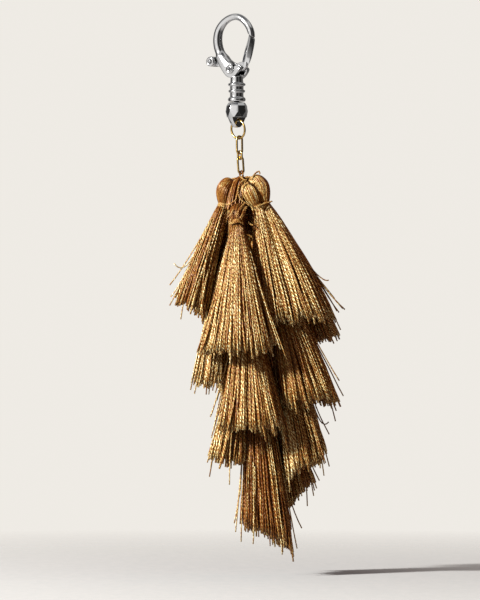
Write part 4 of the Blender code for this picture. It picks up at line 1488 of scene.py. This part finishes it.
@dataclass(frozen=True)
class HookBody:
    """Cast hook: a round bow that swells into two cheeks with a slot between, over a neck of three collars.

    Attributes:
        bow: u, z and radius along the bow's middle, from its tip over the top and down to the cheeks.
        ear: u and z round the rear cheek.
        front: u and z round the front one, which is smaller below.
        slot: u and z round the slot between them.
        neck: Radius and z down the neck.
        ear_thick: Thickness of a cheek at its foot.
        slot_wide: Width of the slot.
        rivet_hole: Radius of the rivet's hole.
        gate_reach: How far from the rivet the gate's mouth is cut in the bow's tip.
        mouth_turn: Angle of the mouth's middle about the rivet.
        grain: Size of the boxes that the skin is found in.
    """

    bow: tuple = (
        (7.2, -8, 1.4), (6.96, -5.2, 1.4), (5.98, -3, 1.4), (4.27, -0.9, 1.38),
        (1.83, 0.75, 1.34), (-0.85, 1.3, 1.3), (-3.8, 0.65, 1.35), (-6.5, -1.1, 1.5),
        (-8.5, -3.8, 1.7), (-9.3, -7, 1.85), (-9, -10.4, 1.9), (-7.7, -13.6, 1.9),
        (-5.7, -16.6, 1.8), (-3.5, -19.2, 1.5),
    )
    ear: tuple = (
        (-8.5, -14.6), (-7.2, -17.4), (-5, -20.6), (-3.2, -22.7), (-1.3, -23.6), (1.2, -23.5),
        (2.8, -22.4), (4.1, -20.7), (4.3, -19.4), (2.8, -18.5), (0.4, -17.7), (-2, -17),
        (-3.9, -16), (-5.6, -14.3),
    )
    front: tuple = (
        *ear[:3], (-3.2, -22.5), (-1.2, -23.2), (0.6, -22.6), (1.9, -21.4), (2.9, -20.2), (3.3, -19.2),
        (2.4, -18.3), *ear[10:],
    )
    slot: tuple = (
        (-12.5, -14.6), (-7.5, -15.9), (-3.5, -16.9), (0, -16.6), (8, -15.2), (8, -22),
        (-12.5, -22),
    )
    neck: tuple = (
        (0, -22.3), (2.2, -22.4), (2.5, -23.4), (2.6, -24.7), (2.8, -25.2), (3.3, -25.4),
        (3.52, -25.85), (3.3, -26.3), (2.8, -26.5), (2.72, -27.1), (2.78, -27.9), (3.15, -28.05),
        (3.34, -28.5), (3.15, -28.95), (2.78, -29.1), (2.7, -29.9), (2.8, -30.8), (3.25, -31.1),
        (3.55, -31.65), (3.5, -32.2), (3.1, -32.6), (1.1, -32.62), (1.1, -35.4), (1.9, -35.42),
        (1.9, -36.4), (0, -36.4),
    )
    ear_thick: float = 1.85
    slot_wide: float = 2.1
    rivet_hole: float = 1.1
    gate_reach: float = 15.85
    mouth_turn: float = math.radians(54.0)
    grain: float = 0.2

    def distance(self, points: Array) -> Array:
        """Bow and cheeks fused with a fillet, less the slot, the rivet's hole and the gate's mouth.

        Args:
            points: The points, in millimetres.

        Returns:
            The distances.
        """
        u, deep, z = points[..., 0], points[..., 1], points[..., 2]
        line = smooth_through(self.bow, 9)
        path = np.stack([line[:, 0], np.zeros(len(line)), line[:, 1]], axis=-1)
        bow = bar_distance(points, path, line[:, 2])
        half = self.ear_thick + self.slot_wide / 2 - 0.22 * (z + 20.0).clip(0.0, 7.0)
        outlines = [smooth_through(rows, 3, closed=True) for rows in (self.front, self.ear)]
        front, rear = (outline_distance(u, z, outline) for outline in outlines)
        ear = slab(np.where(deep < 0.0, front, rear), deep, half, 0.3)
        body = fuse(bow, ear, 2.2)
        slot = slab(outline_distance(u, z, np.array(self.slot)), deep, self.slot_wide / 2, 0.05)
        body = cut(body, slot, 0.25)
        away = from_rivet(u, z)
        body = cut(body, away - self.rivet_hole, 0.2)
        sweep = np.arctan2(z - RIVET[1], u - RIVET[0])
        mouth = np.maximum(away - self.gate_reach, np.abs(sweep - self.mouth_turn) * 12.0 - 5.0)
        return cut(body, mouth, 0.25)

    def build(self) -> None:
        """Make the casting and its neck as one piece."""
        points, faces = skin_of(self.distance, (-11.8, -3.0, -24.4), (9.4, 3.0, 3.4), self.grain)
        skin = Skin()
        skin.add(stand_in_hook(points), [faces])
        turned(skin, smooth_through(self.neck, 3), lambda points: points + (*STEM_AXIS, 0.0))
        show(skin.build("hook_casting"), CHROME, Body.HOOK, Slot.CHROME, "hook_body")


@dataclass(frozen=True)
class Rivet:
    """Rivet through the cheeks: each head has a rounded rim, a ring groove and a dimple.

    Attributes:
        half: Radius and place along the rivet, over one head from the bottom of its dimple.
    """

    half: tuple = (
        (0, 0.9), (0.5, 1), (0.62, 1.2), (0.68, 3.16), (0.8, 3.36), (1, 3.4), (1.14, 3.3),
        (1.2, 3.1), (1.34, 3.1), (1.42, 3.32), (1.6, 3.42), (1.78, 3.34), (1.88, 3.12), (1.88, 3),
        (0.8, 3),
    )

    def build(self) -> None:
        """Turn the profile about the rivet's own axis."""
        skin = Skin()
        turned(skin, mirrored_profile(self.half), lie_across(RIVET))
        show(skin.build("rivet_heads"), CHROME, Body.HOOK, Slot.CHROME, "gate_rivet")


@dataclass(frozen=True)
class GateLever:
    """Lever plate in the slot, with the ridged arm that closes the eye and the thumb peg at its other end.

    Attributes:
        outline: u and z round the plate.
        arm: u, z, half width and half thickness up the arm.
        thick: Thickness of the plate.
        bore: Radius of the rivet's hole.
        reach: How far from the rivet the arm ends.
        peg: u and z of the peg.
        peg_half: Radius and place along the peg, over one end from the bottom of its dimple.
        grain: Size of the boxes that the skin is found in.
    """

    outline: tuple = (
        (-11.2, -15.4), (-8, -16.6), (-4.5, -17.8), (-2.2, -17.7), (0.2, -17.6), (2.4, -16.9),
        (5.1, -17.2), (5, -18.8), (3.6, -20), (1.5, -20.9), (-0.5, -21.5), (-2.2, -21.5),
        (-4.5, -20.3), (-8, -18.6), (-11.2, -17.4),
    )
    arm: tuple = (
        (3.6, -19, 1.2, 0.75), (4.3, -17.3, 1.9, 0.85), (5.2, -15, 2.1, 1.3),
        (6.1, -12, 2.05, 1.5), (6.9, -9.4, 1.85, 1.5), (7.5, -6.2, 1.6, 1.45),
        (7.8, -4.6, 1.55, 1.45), (8.1, -2.6, 1.55, 1.45),
    )
    thick: float = 1.6
    bore: float = 1.1
    reach: float = 15.5
    grain: float = 0.13
    peg: Flat = (-11.2, -16.4)
    peg_half: tuple = (
        (0, 1.2), (0.5, 1.3), (0.7, 1.6), (0.8, 2.8), (1.2, 3), (1.5, 2.98), (1.78, 2.82),
        (1.95, 2.5), (1.98, 2.2), (1.86, 2.02), (1.86, 1.8), (1.98, 1.62), (2, 0.9),
    )

    def distance(self, points: Array) -> Array:
        """Plate and arm fused; the arm's section is a bar with a ridge: 0.88 |across| + |deep| within one.

        Args:
            points: The points, in millimetres.

        Returns:
            The distances.
        """
        u, deep, z = points[..., 0], points[..., 1], points[..., 2]
        outline = smooth_through(self.outline, 3, closed=True)
        plate = slab(outline_distance(u, z, outline), deep, self.thick / 2, 0.2)
        plate = cut(plate, from_rivet(u, z) - self.bore, 0.1)
        across, wide, thick = self.along_arm(u, z)
        slant = 0.88 * np.hypot(across, 0.12) / wide + np.hypot(deep, 0.12) / thick
        ridge = (slant - 1.0) * np.minimum(wide, thick) / 1.33
        arm = -fuse(-(across - wide), -ridge, 0.45)
        arm = -fuse(-arm, -(from_rivet(u, z) - self.reach), 0.2)
        return fuse(plate, arm, 0.35)

    def along_arm(self, u: Array, z: Array) -> tuple[Array, Array, Array]:
        """How far points lie from the arm's line, with its half width and thickness at the nearest place.

        Args:
            u: The points' measure across the hook.
            z: Their height.

        Returns:
            Distances, half widths and half thicknesses.
        """
        rows = smooth_through(self.arm, 2)
        found = np.full((3, *u.shape), np.inf)
        for first, second in zip(rows[:-1], rows[1:]):
            share, away = nearest_on(first[:2], second[:2], u, z)
            sizes = (first[i] + (second[i] - first[i]) * share for i in (2, 3))
            found = np.where(away < found[0], np.stack([away, *sizes]), found)
        return tuple(found)

    def build(self) -> None:
        """Make the lever with its peg."""
        points, faces = skin_of(self.distance, (-12.4, -2.0, -22.4), (10.4, 2.0, -4.0), self.grain)
        skin = Skin()
        skin.add(stand_in_hook(points), [faces])
        turned(skin, mirrored_profile(self.peg_half), lie_across(self.peg))
        show(skin.build("gate_and_peg"), CHROME, Body.GATE, Slot.CHROME, "gate_lever")


@dataclass(frozen=True)
class Barrel:
    """Faceted swivel barrel: rings of eight corners, half a side apart below the widest, and a flat eye.

    Attributes:
        rings: Radius and z of each ring of corners, and how many half sides it is turned.
        tip: z of the lowest corner.
        sides: Corners to a ring.
        turn: How far the first ring is turned about the axis.
        sockets: Round holes: radius, height, middle's z, and the turn of one that lies across the axis.
        eye_half: Half the thickness of the flat eye.
        eye_top: z of the two flats' upper ends.
        eye_turn: How far the flats are turned about the axis.
        break_edge: Width of the broken edges.
    """

    rings: tuple = (
        (2.7, -32.95, 0), (3.35, -33.1, 0), (4.15, -34.3, 0), (4.5, -36.6, 0), (4.12, -39.0, 1),
        (2.95, -41.4, 2), (1.45, -42.9, 3),
    )
    tip: float = -43.1
    sides: int = 8
    turn: float = math.radians(7.5)
    eye_turn: float = math.radians(-45.0)
    sockets: tuple = ((1.6, 6.0, -33.0, None), (2.5, 1.8, -35.9, None), (1.0, 10.0, -39.95, eye_turn))
    eye_half: float = 1.2
    eye_top: float = -38.9
    break_edge: float = 0.1

    def gem(self) -> Piece:
        """The faceted outside, as the hull of its rings of corners.

        Returns:
            The piece.
        """
        places = []
        for radius, up, half_sides in self.rings:
            angle = self.turn + (np.arange(self.sides) + half_sides / 2) * FULL_TURN / self.sides
            height = np.full(self.sides, up)
            places.append(np.stack([radius * np.cos(angle), radius * np.sin(angle), height], axis=-1))
        places.append(np.array([[0.0, 0.0, self.tip]]))
        shape = bmesh.new()
        for place in np.concatenate(places) * MM:
            shape.verts.new(place)
        hull = bmesh.ops.convex_hull(shape, input=shape.verts)
        inner = hull["geom_unused"] + hull["geom_interior"]
        loose = {part for part in inner if isinstance(part, bmesh.types.BMVert)}
        bmesh.ops.delete(shape, geom=list(loose), context="VERTS")
        bmesh.ops.dissolve_limit(shape, angle_limit=math.radians(1.0), verts=shape.verts, edges=shape.edges)
        return from_bmesh("swivel_gem", shape)

    def take_away(
        self, piece: Piece, cutter: bmesh.types.BMesh, middle: Vector, *turns: tuple[str, float]
    ) -> None:
        """Turn a shape, move it to its place and cut it from the barrel.

        Args:
            piece: The barrel.
            cutter: The shape, which is used up.
            middle: Where its middle goes, in millimetres.
            turns: The axes that it is turned about in order, and its angles.
        """
        for axis, angle in turns:
            bmesh.ops.rotate(cutter, matrix=turn_about(axis, angle), verts=cutter.verts)
        bmesh.ops.translate(cutter, vec=middle * MM, verts=cutter.verts)
        tool = from_bmesh("barrel_cutter", cutter)
        cutting = piece.modifiers.new("cut", "BOOLEAN")
        cutting.operation = "DIFFERENCE"
        cutting.solver = "EXACT"
        cutting.object = tool
        bake_modifiers(piece)
        bpy.data.objects.remove(tool, do_unlink=True)

    def build(self) -> None:
        """Cut the socket, the two flats and the eye's hole from the gem, and break its edges."""
        piece = self.gem()
        across = Vector((math.cos(self.eye_turn), math.sin(self.eye_turn), 0.0))
        for side in (-1.0, 1.0):
            block = bmesh.new()
            bmesh.ops.create_cube(block, size=1.0)
            bmesh.ops.scale(block, vec=Vector((8.0, 16.0, 8.0)) * MM, verts=block.verts)
            middle = across * side * (self.eye_half + 4.0) + Vector((0.0, 0.0, self.eye_top - 4.0))
            self.take_away(piece, block, middle, ("Z", self.eye_turn))
        for radius, tall, height, turn in self.sockets:
            rod = bmesh.new()
            sizes = {"radius1": radius * MM, "radius2": radius * MM, "depth": tall * MM}
            bmesh.ops.create_cone(rod, cap_ends=True, segments=32, **sizes)
            turns = () if turn is None else (("Y", math.pi / 2), ("Z", turn))
            self.take_away(piece, rod, Vector((0.0, 0.0, height)), *turns)
        edge = piece.modifiers.new("edge", "BEVEL")
        edge.width = self.break_edge * MM
        edge.segments = 2
        edge.limit_method = "ANGLE"
        edge.angle_limit = math.radians(8.0)
        bake_modifiers(piece)
        piece.data.transform(moved_by((*STEM_AXIS, 0.0)))
        piece.name = "faceted_barrel"
        piece.data.shade_smooth()
        piece.data.set_sharp_from_angle(angle=math.radians(14.0))
        show(piece, CHROME, Body.SWIVEL, Slot.CHROME, "swivel_barrel")


def turn_about(axis: str, angle: float) -> Matrix:
    """A matrix that turns by an angle about an axis."""
    return Matrix.Rotation(angle, 3, axis)


def moved_by(place: Point) -> Matrix:
    """A matrix that moves by a place in millimetres."""
    return Matrix.Translation(Vector(place) * MM)


def from_bmesh(name: str, shape: bmesh.types.BMesh) -> Piece:
    """Make an object of a shape, which is used up."""
    mesh = bpy.data.meshes.new(name)
    shape.to_mesh(mesh)
    shape.free()
    return in_scene(name, mesh)


def bake_modifiers(piece: Piece) -> None:
    """Replace a piece's mesh by what its modifiers make of it.

    Args:
        piece: The piece.
    """
    bpy.context.view_layer.update()
    graph = bpy.context.evaluated_depsgraph_get()
    mesh = bpy.data.meshes.new_from_object(piece.evaluated_get(graph))
    piece.modifiers.clear()
    piece.data = mesh


# ---- ring, chain and cord

CHAIN_Y = -0.49
"""y of the chain, on the swivel's axis."""


@dataclass(frozen=True)
class WireLink:
    """A closed wire link with round ends, between two wire centres.

    Attributes:
        node: The frame's node that it stands for.
        top: x and z of its upper wire centre.
        low: x and z of its lower wire centre.
        half_wide: Half its width between wire centres.
        turn: How far its plane is turned about the vertical, in degrees.
        wire: Radius of the wire.
    """

    node: str
    top: Flat
    low: Flat
    half_wide: float
    turn: float
    wire: float = 0.42

    def line(self, steps: int = 40) -> tuple[Array, Array]:
        """The link's centre line, two half circles joined by straights, and the way across its plane.

        Args:
            steps: Points to a half circle.

        Returns:
            The line's points, and a unit vector.
        """
        low = np.array((self.low[0], CHAIN_Y, self.low[1]))
        rise = np.array((self.top[0], CHAIN_Y, self.top[1])) - low
        up = unit(rise)
        turn = math.radians(self.turn)
        across = np.array((math.cos(turn), math.sin(turn), 0.0))
        across = unit(across - up * (across @ up))
        tall = np.linalg.norm(rise)
        halves = []
        for centre, start in ((self.half_wide, math.pi), (tall - self.half_wide, 0.0)):
            angle = start + np.linspace(0.0, math.pi, steps)[:, None]
            halves.append(low + up * centre + self.half_wide * (across * np.cos(angle) + up * np.sin(angle)))
        if tall - 2 * self.half_wide < 0.2:
            halves = [half[:-1] for half in halves]
        return np.concatenate(halves), np.cross(across, up)

    def build(self) -> None:
        """Carry the wire round the link."""
        line, across = self.line()
        skin = Skin()
        closed_loop(skin, line, across, self.wire, 16)
        show(skin.build(f"wire_{self.node}"), BRASS, Body.SWIVEL, Slot.BRASS, self.node)


LINKS = (
    WireLink("jump_ring", (0.7, -39.95), (1.75, -47.45), 3.75, -45.0),
    WireLink("chain_link_upper", (1.75, -46.53), (1.85, -53.44), 1.28, 35.0),
    WireLink("chain_link_middle", (1.85, -52.5), (2.05, -55.66), 1.08, -45.0),
    WireLink("chain_link_lower", (2.05, -54.72), (2.5, -61.4), 1.28, 35.0),
)


@dataclass(frozen=True)
class HangingCord:
    """The cord: a loop through the last link, its knot, the core through the tiers and the ties to the heads.

    Attributes:
        loop: x and z of the loop's ends, half its width and its turn in degrees.
        knot: Middle of the knot.
        strand: Radius of each of the threads that the cord is laid from.
        ply: Radius at which the threads lie round the cord's middle.
        lay: Millimetres down the cord to one turn of its threads.
        wraps: The knot's turns: tilt about x, turn about z, and size.
    """

    loop: tuple = ((2.52, -60.36), (2.6, -62.9), 0.95, -50.0)
    knot: Point = (2.6, -0.4, -63.4)
    strand: float = 0.22
    ply: float = 0.2
    lay: float = 2.4
    wraps: tuple = ((0.25, 0.3, 1.15), (-0.45, 1.4, 1.1), (1.0, 2.2, 1.0), (0.7, 0.0, 0.95))

    def twist(self, skin: Skin, line: Array, threads: int, reach: float, radius: float, pale: float) -> None:
        """Lay threads round a line: each is line + reach (cos a side + sin a up), a growing with the length.

        Args:
            skin: The surfaces to add to.
            line: The cord's middle line.
            threads: How many threads.
            reach: Radius at which they lie.
            radius: Each thread's own radius.
            pale: How pale they are dyed.
        """
        along = unit(np.gradient(line, axis=0))
        aim = np.array((0.3, 1.0, 0.2))
        side = unit(np.cross(aim, along))
        up = np.cross(along, side)
        angle = measure(line)[None, :] / self.lay * FULL_TURN
        angle = angle + np.arange(threads)[:, None] / threads * FULL_TURN
        paths = line + reach * (np.cos(angle)[..., None] * side + np.sin(angle)[..., None] * up)
        thick = np.full(paths.shape[:2], radius)
        # A little painted shade on every thread of the cord.
        dye_and_shade = np.tile((pale, 0.1), (threads, 1))
        carry(skin, paths, thick, 4, aim, dye_and_shade)

    def build(self) -> None:
        """Make the whole cord as one piece, with a tie from the core to each head's pole.

        The knot's turns are (size cos a, size sin a, sin 2 a / 4), each tilted its own way.
        """
        skin = Skin()
        top, low, half, turn = self.loop
        line, _ = WireLink("loop", top, low, half, turn).line(14)
        self.twist(skin, np.vstack([line, line[:1]]), 2, self.ply, self.strand, 0.35)
        angle = np.linspace(0.0, FULL_TURN * 1.15, 30)
        for tilt, turn, size in self.wraps:
            ring = np.stack([size * np.cos(angle), size * np.sin(angle), 0.25 * np.sin(2 * angle)], axis=-1)
            ring = ring @ np.array(turn_about("X", tilt)).T @ np.array(turn_about("Z", turn)).T
            wrap = np.array(self.knot) + ring * (1.0, 0.9, 0.85)
            self.twist(skin, wrap, 2, self.ply, self.strand, 0.3)
        self.twist(skin, smooth_through(CORE, 14), 5, 0.62, 0.36, 0.3)
        for form in FORMS:
            root, pole = cord_beside(np.array(form.crown)), Head(form).pole()
            tie = smooth_through((root, (root + pole) / 2 + (0.0, 0.0, 0.25), pole), 5)
            self.twist(skin, tie, 3, 0.24, self.strand, 0.4)
        show(skin.build("laid_cord"), BINDING_SILK, Body.SWIVEL, Slot.THREAD, "hanging_cord")


PIXEL = 0.4
"""Millimetres to a pixel of the picture."""
PICTURE_COLUMN, PICTURE_ROW = 235.0, 20.0
"""Where the frame's origin lies in the picture."""
# Each line gives places by the picture's column and row, and y in millimetres.
FAN_LEFT = ((239, 176.6, -1), (233.5, 180, -1.6), (230, 188, -3), (227, 200, -4.4), (225, 209, -4.6))
FAN_RIGHT = ((244, 178, -1), (243.5, 185, -3.4), (242, 194, -4.4), (241, 204, -5.2), (240, 214, -6))
LIGHT_THREADS = (
    ((240, 176.5, -2.2), (244, 180, -4.8), (248.5, 184, -7.6)),
    ((247, 180, -6.6), (242, 182, -7.4), (239, 187, -7.6),
     (238, 194, -7.8), (242, 201, -8.4), (250, 206, -9)),
    ((252, 180, -4.2), (253.5, 176, -3.6), (256, 173, -3), (259, 171.6, -2.6), (260, 174, -3.4)),
    ((258, 206.5, -8.4), (263, 204.8, -7.4), (268, 203.2, -6), (272, 201.4, -5)),
    ((245, 203.5, -9), (242.5, 206, -9.9), (239, 210, -10.9), (237, 215, -11.6)),
    ((244, 205.5, -9.4), (241.4, 208.6, -10.4), (238.4, 212.4, -11.2), (236.6, 218, -12)),
    ((247, 207, -9.2), (245, 211, -10.4), (243.4, 215.5, -11.2), (241, 219.5, -12)),
    ((246, 206, -8.8), (243.9, 210.6, -10.6), (242.2, 215, -11.5), (239.8, 219.5, -12.1)),
    ((233.4, 210, -10.4), (231.4, 214, -10.7), (229.8, 219, -10.9), (229.2, 223, -11.2)),
    ((226, 204.5, -6.8), (229, 205, -8.4), (232, 203.2, -8.8), (236, 200.5, -8.6)),
    ((229, 223.6, -11), (232, 223, -12), (236, 222, -12.4), (243, 223.6, -11.4)),
    ((229.2, 224.8, -11), (233, 223.6, -12.2), (238.5, 222.6, -12.4), (243.6, 224.8, -11.4)),
    ((248.6, 222.6, -9.4), (250.4, 224.4, -9.8), (253, 225.8, -10.2)),
)


def from_picture(rows: Sequence[Point]) -> Array:
    """A smooth line through places by column, row and y: x is column x pixel and z is less row x pixel."""
    column, row, y = np.array(rows).T
    places = np.stack([(column - PICTURE_COLUMN) * PIXEL, y, (PICTURE_ROW - row) * PIXEL], axis=-1)
    return smooth_through(places, 6)


@dataclass(frozen=True)
class TopThreads:
    """Threads that fan from the knot between the upper heads, and the light ones that lie over the heads.

    Attributes:
        strand: Radius of a light thread.
        fan: Threads in the fan.
    """

    strand: float = 0.2
    fan: int = 26

    def build(self) -> None:
        """The fan's threads each blend two lines; the light threads are laid from two plies."""
        rng = np.random.default_rng(FAN_SEED)
        left, right = from_picture(FAN_LEFT), from_picture(FAN_RIGHT)
        share = np.sort(rng.uniform(0.0, 1.0, self.fan))[:, None, None]
        paths = left + share * (right - left)
        down = np.linspace(0.0, 1.0, len(left))[:, None]
        back = rng.uniform(-0.6, 1.4, (self.fan, 1, 1)) * np.sin(math.pi * down * 0.7)
        sway = rng.normal(0.0, 0.35, (self.fan, 1, 1)) * np.sin(math.pi * down)
        paths = paths + back * (0.0, 1.0, 0.0) + sway * (1.0, 0.0, 0.0)
        fan = Skin()
        # The fan's threads get painted shade, as they hang in the hollow between the heads.
        dye_and_shade = np.stack([rng.uniform(0.1, 0.5, self.fan), rng.uniform(0.1, 0.6, self.fan)], axis=-1)
        carry(fan, paths, np.full(paths.shape[:2], 0.3), 6, INWARD, dye_and_shade)
        show(fan.build("fan_threads"), HEAD_SILK, Body.SWIVEL, Slot.SILK)
        cord = HangingCord(strand=self.strand, ply=0.17, lay=2.0)
        skin = Skin()
        for rows in LIGHT_THREADS:
            cord.twist(skin, from_picture(rows), 2, cord.ply, cord.strand, 0.9)
        show(skin.build("top_threads"), BINDING_SILK, Body.SWIVEL, Slot.THREAD)


@dataclass(frozen=True)
class PairBinding:
    """One thread wound round the waists of two neighbouring tassels.

    Attributes:
        first: One tassel's waist.
        second: The other's.
        round_them: How far outside the waists it lies.
        thread: Radius of the thread.
        turns: How many times it goes round.
        high: Height of the winding.
    """

    first: Point
    second: Point
    round_them: float = 0.35
    thread: float = 0.24
    turns: int = 5
    high: float = 1.9

    def build(self) -> None:
        """Two plies of an oval helix, long from waist to waist."""
        first, second = np.array(self.first), np.array(self.second)
        along = unit(second - first)
        across = unit(np.cross(along, (0.0, 0.0, 1.0)))
        ways = (along, across, np.cross(along, across))
        short = WAIST_RADIUS + self.round_them
        long = np.linalg.norm(second - first) / 2 + short
        skin = Skin()
        angle = np.linspace(0.0, self.turns * FULL_TURN, self.turns * 28)
        share = angle / angle[-1] - 0.5
        for ply in range(2):
            wave = 0.16 * np.sin(angle * 0.61 + 2 * ply)
            swell = 1.0 + 0.03 * np.sin(angle * 1.3 + ply)
            yarn = {"radius": self.thread, "pale": 0.75 - 0.3 * ply}
            turn, rise = angle + ply * math.pi, share * self.high + wave
            wind(skin, (first + second) / 2, ways, (long * swell, short * swell), turn, rise, **yarn)
        show(skin.build("pair_binding"), BINDING_SILK, Body.SWIVEL, Slot.THREAD)


# ---- studio

WARM = (1.0, 0.97, 0.93)
"""Colour of the room that the chrome mirrors."""
BANDS = (
    # Degrees round from behind the camera to the right, and how bright the room is there.
    (-180, 0.18), (-160, 0.45), (-138, 0.45), (-128, 0.05), (-106, 0.04), (-98, 0.2), (-88, 0.62),
    (-60, 0.95), (-24, 0.95), (-14, 0.3), (-3, 0.08), (1, 0.03), (26, 0.03), (33, 0.14), (42, 0.12),
    (48, 0.02), (90, 0.02), (102, 0.14), (126, 0.08), (150, 0.2), (180, 0.18),
)
RISES = ((-90, 1.0), (-50, 0.9), (-28, 0.0), (36, 0.0), (46, 1.0), (90, 1.0))
"""Degrees above the horizon, and how far the room's ends take over from its bands there."""
ENDS = (
    # Degrees above the horizon, and the colour of the room's floor and ceiling there.
    (-90, (0.22, 0.2, 0.18)), (-50, (0.3, 0.27, 0.25)), (-28, (0.42, 0.4, 0.37)), (0, (0.2, 0.2, 0.2)),
    (38, (0.06, 0.06, 0.06)), (49, (0.55, 0.54, 0.52)), (62, (0.55, 0.54, 0.52)), (68, (0.1, 0.1, 0.11)),
    (90, (0.16, 0.16, 0.16)),
)


@dataclass(frozen=True)
class Studio:
    """Pale floor that fades out, soft light from the upper left, and a long lens level with the charm.

    Attributes:
        middle: Place at the middle of the picture.
        tall: Height that the picture takes in at the charm.
        away: Distance of the camera.
        floor: Height of the floor.
        reach: Radius of the floor.
        paper: Colour of the paper behind.
        room: Colour of the light from the room.
        left: Strength of the room's light from the left.
        right: Its strength from the right.
        behind: What it gains on the far side from the key light.
        key_place: Where the key light hangs.
        key_size: Width of the key light.
        key_watts: Its power.
        key_colour: Its colour.
    """

    middle: Point = (2.0, 0.0, -112.0)
    tall: float = 240.0
    away: float = 2000.0
    floor: float = -222.0
    reach: float = 420.0
    paper: Colour = (0.86, 0.83, 0.78)
    room: Colour = (1.0, 0.36, 0.11)
    left: float = 0.26
    right: float = 0.12
    behind: float = 0.55
    key_place: Point = (-1000.0, -650.0, 430.0)
    key_size: float = 110.0
    key_watts: float = 59.0
    key_colour: Colour = (1.0, 0.98, 0.93)

    def camera(self) -> None:
        """Set the camera at the front, with the sensor's height taking in the picture's height."""
        lens = bpy.data.cameras.new("camera")
        lens.sensor_width = 36.0
        lens.lens = lens.sensor_width * self.away / self.tall
        lens.clip_end = 20.0
        made = in_scene("camera", lens)
        made.location = Vector((self.middle[0], self.middle[1] - self.away, self.middle[2])) * MM
        made.rotation_euler = (math.pi / 2, 0.0, 0.0)
        bpy.context.scene.camera = made

    def key_light(self) -> None:
        """Hang a square soft light that faces the charm's middle."""
        lamp = bpy.data.lights.new("key", "AREA")
        lamp.size = self.key_size * MM
        lamp.energy = self.key_watts
        lamp.color = self.key_colour
        made = in_scene("key", lamp)
        made.location = Vector(self.key_place) * MM
        aim = Vector(self.middle) - Vector(self.key_place)
        made.rotation_euler = aim.to_track_quat("-Z", "Y").to_euler()

    def surroundings(self) -> None:
        """Plain paper behind the charm, dim light on its silk, and bands of light and dark for its chrome."""
        world = bpy.data.worlds.new("studio")
        world.use_nodes = True
        world.node_tree.nodes.clear()
        bpy.context.scene.world = world
        wire = Wiring(world.node_tree)
        spot = wire.node("ShaderNodeTexCoord").outputs["Generated"]
        x, y, z = wire.node("ShaderNodeSeparateXYZ", {0: spot}).outputs
        turn = wire.sum("ARCTAN2", x, wire.times(y, -1.0))
        turn_share = wire.plus(wire.sum("DIVIDE", turn, FULL_TURN), 0.5)
        rise_share = wire.plus(wire.sum("DIVIDE", wire.sum("ARCSINE", z), math.pi), 0.5)
        stops = [(angle / 360.0 + 0.5, np.multiply(level, WARM)) for angle, level in BANDS]
        bands = wire.ramp(turn_share, stops)
        heights = wire.ramp(rise_share, [(angle / 180.0 + 0.5, (share,) * 3) for angle, share in RISES])
        ends = wire.ramp(rise_share, [(angle / 180.0 + 0.5, colour) for angle, colour in ENDS])
        mirrored = wire.glow(wire.mix(heights, bands, ends))
        from_sides = wire.spread(x, -0.8, 0.8, self.left, self.right)
        from_behind = wire.spread(wire.plus(x, y), 0.2, 1.3, 0.0, self.behind)
        room = wire.glow((*self.room, 1.0), wire.plus(from_sides, from_behind))
        ray = wire.node("ShaderNodeLightPath").outputs
        lit = wire.shaders(ray["Is Glossy Ray"], room, mirrored)
        shown = wire.shaders(ray["Is Camera Ray"], lit, wire.glow((*self.paper, 1.0)))
        wire.node("ShaderNodeOutputWorld", {"Surface": shown})

    def ground(self) -> None:
        """A round pale floor under the charm that fades into the paper, with a faint blue glow of painted
        light.
        """
        shape = bmesh.new()
        bmesh.ops.create_circle(shape, cap_ends=True, segments=96, radius=self.reach * MM)
        made = from_bmesh("floor", shape)
        made.data.transform(moved_by((self.middle[0], 0.0, self.floor)))
        wire = MaterialWiring("pale_floor")
        place = wire.node("ShaderNodeTexCoord").outputs["Object"]
        parts = wire.node("ShaderNodeSeparateXYZ", {0: place}).outputs
        away = wire.sum("SQRT", wire.plus(*(wire.sum("POWER", part, 2.0) for part in parts[:2])))
        shown = wire.spread(away, 0.05, self.reach * MM * 0.95, 1.0, 0.0)
        grain = wire.spread(wire.noise(place, 300.0, 4.0), 0.3, 0.7, 0.0, 1.0)
        tone = wire.mix(grain, (0.36, 0.365, 0.37, 1.0), (0.4, 0.4, 0.405, 1.0))
        # Painted light: a faint blue glow takes the warm tint out of the floor's shadows.
        painted_cool_glow = {"Emission_Color": (0.0, 0.68, 1.0, 1.0), "Emission_Strength": 0.065}
        wire.surface(Base_Color=tone, Roughness=0.85, Alpha=shown, **painted_cool_glow)
        made.data.materials.append(wire.material)

    def build(self) -> None:
        """Set the whole studio."""
        self.camera()
        self.key_light()
        self.surroundings()
        self.ground()
        bpy.context.scene.view_settings.view_transform = "Standard"
        bpy.context.scene.view_settings.look = "None"


# ---- the charm


def main() -> None:
    """Build the studio and the charm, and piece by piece."""
    logging.basicConfig(level=logging.INFO, format="%(message)s")
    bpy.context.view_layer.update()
    Studio().build()
    HookBody().build()
    Rivet().build()
    GateLever().build()
    Barrel().build()
    for link in LINKS:
        link.build()
    HangingCord().build()
    TopThreads().build()
    by_name = {form.name: form for form in FORMS}
    PairBinding(by_name["upper_centre"].waist, by_name["upper_right"].waist).build()
    for form in FORMS:
        Skirt(form).build()
        Head(form).build()
        Binding(form).build()


if __name__ == "__main__":
    main()
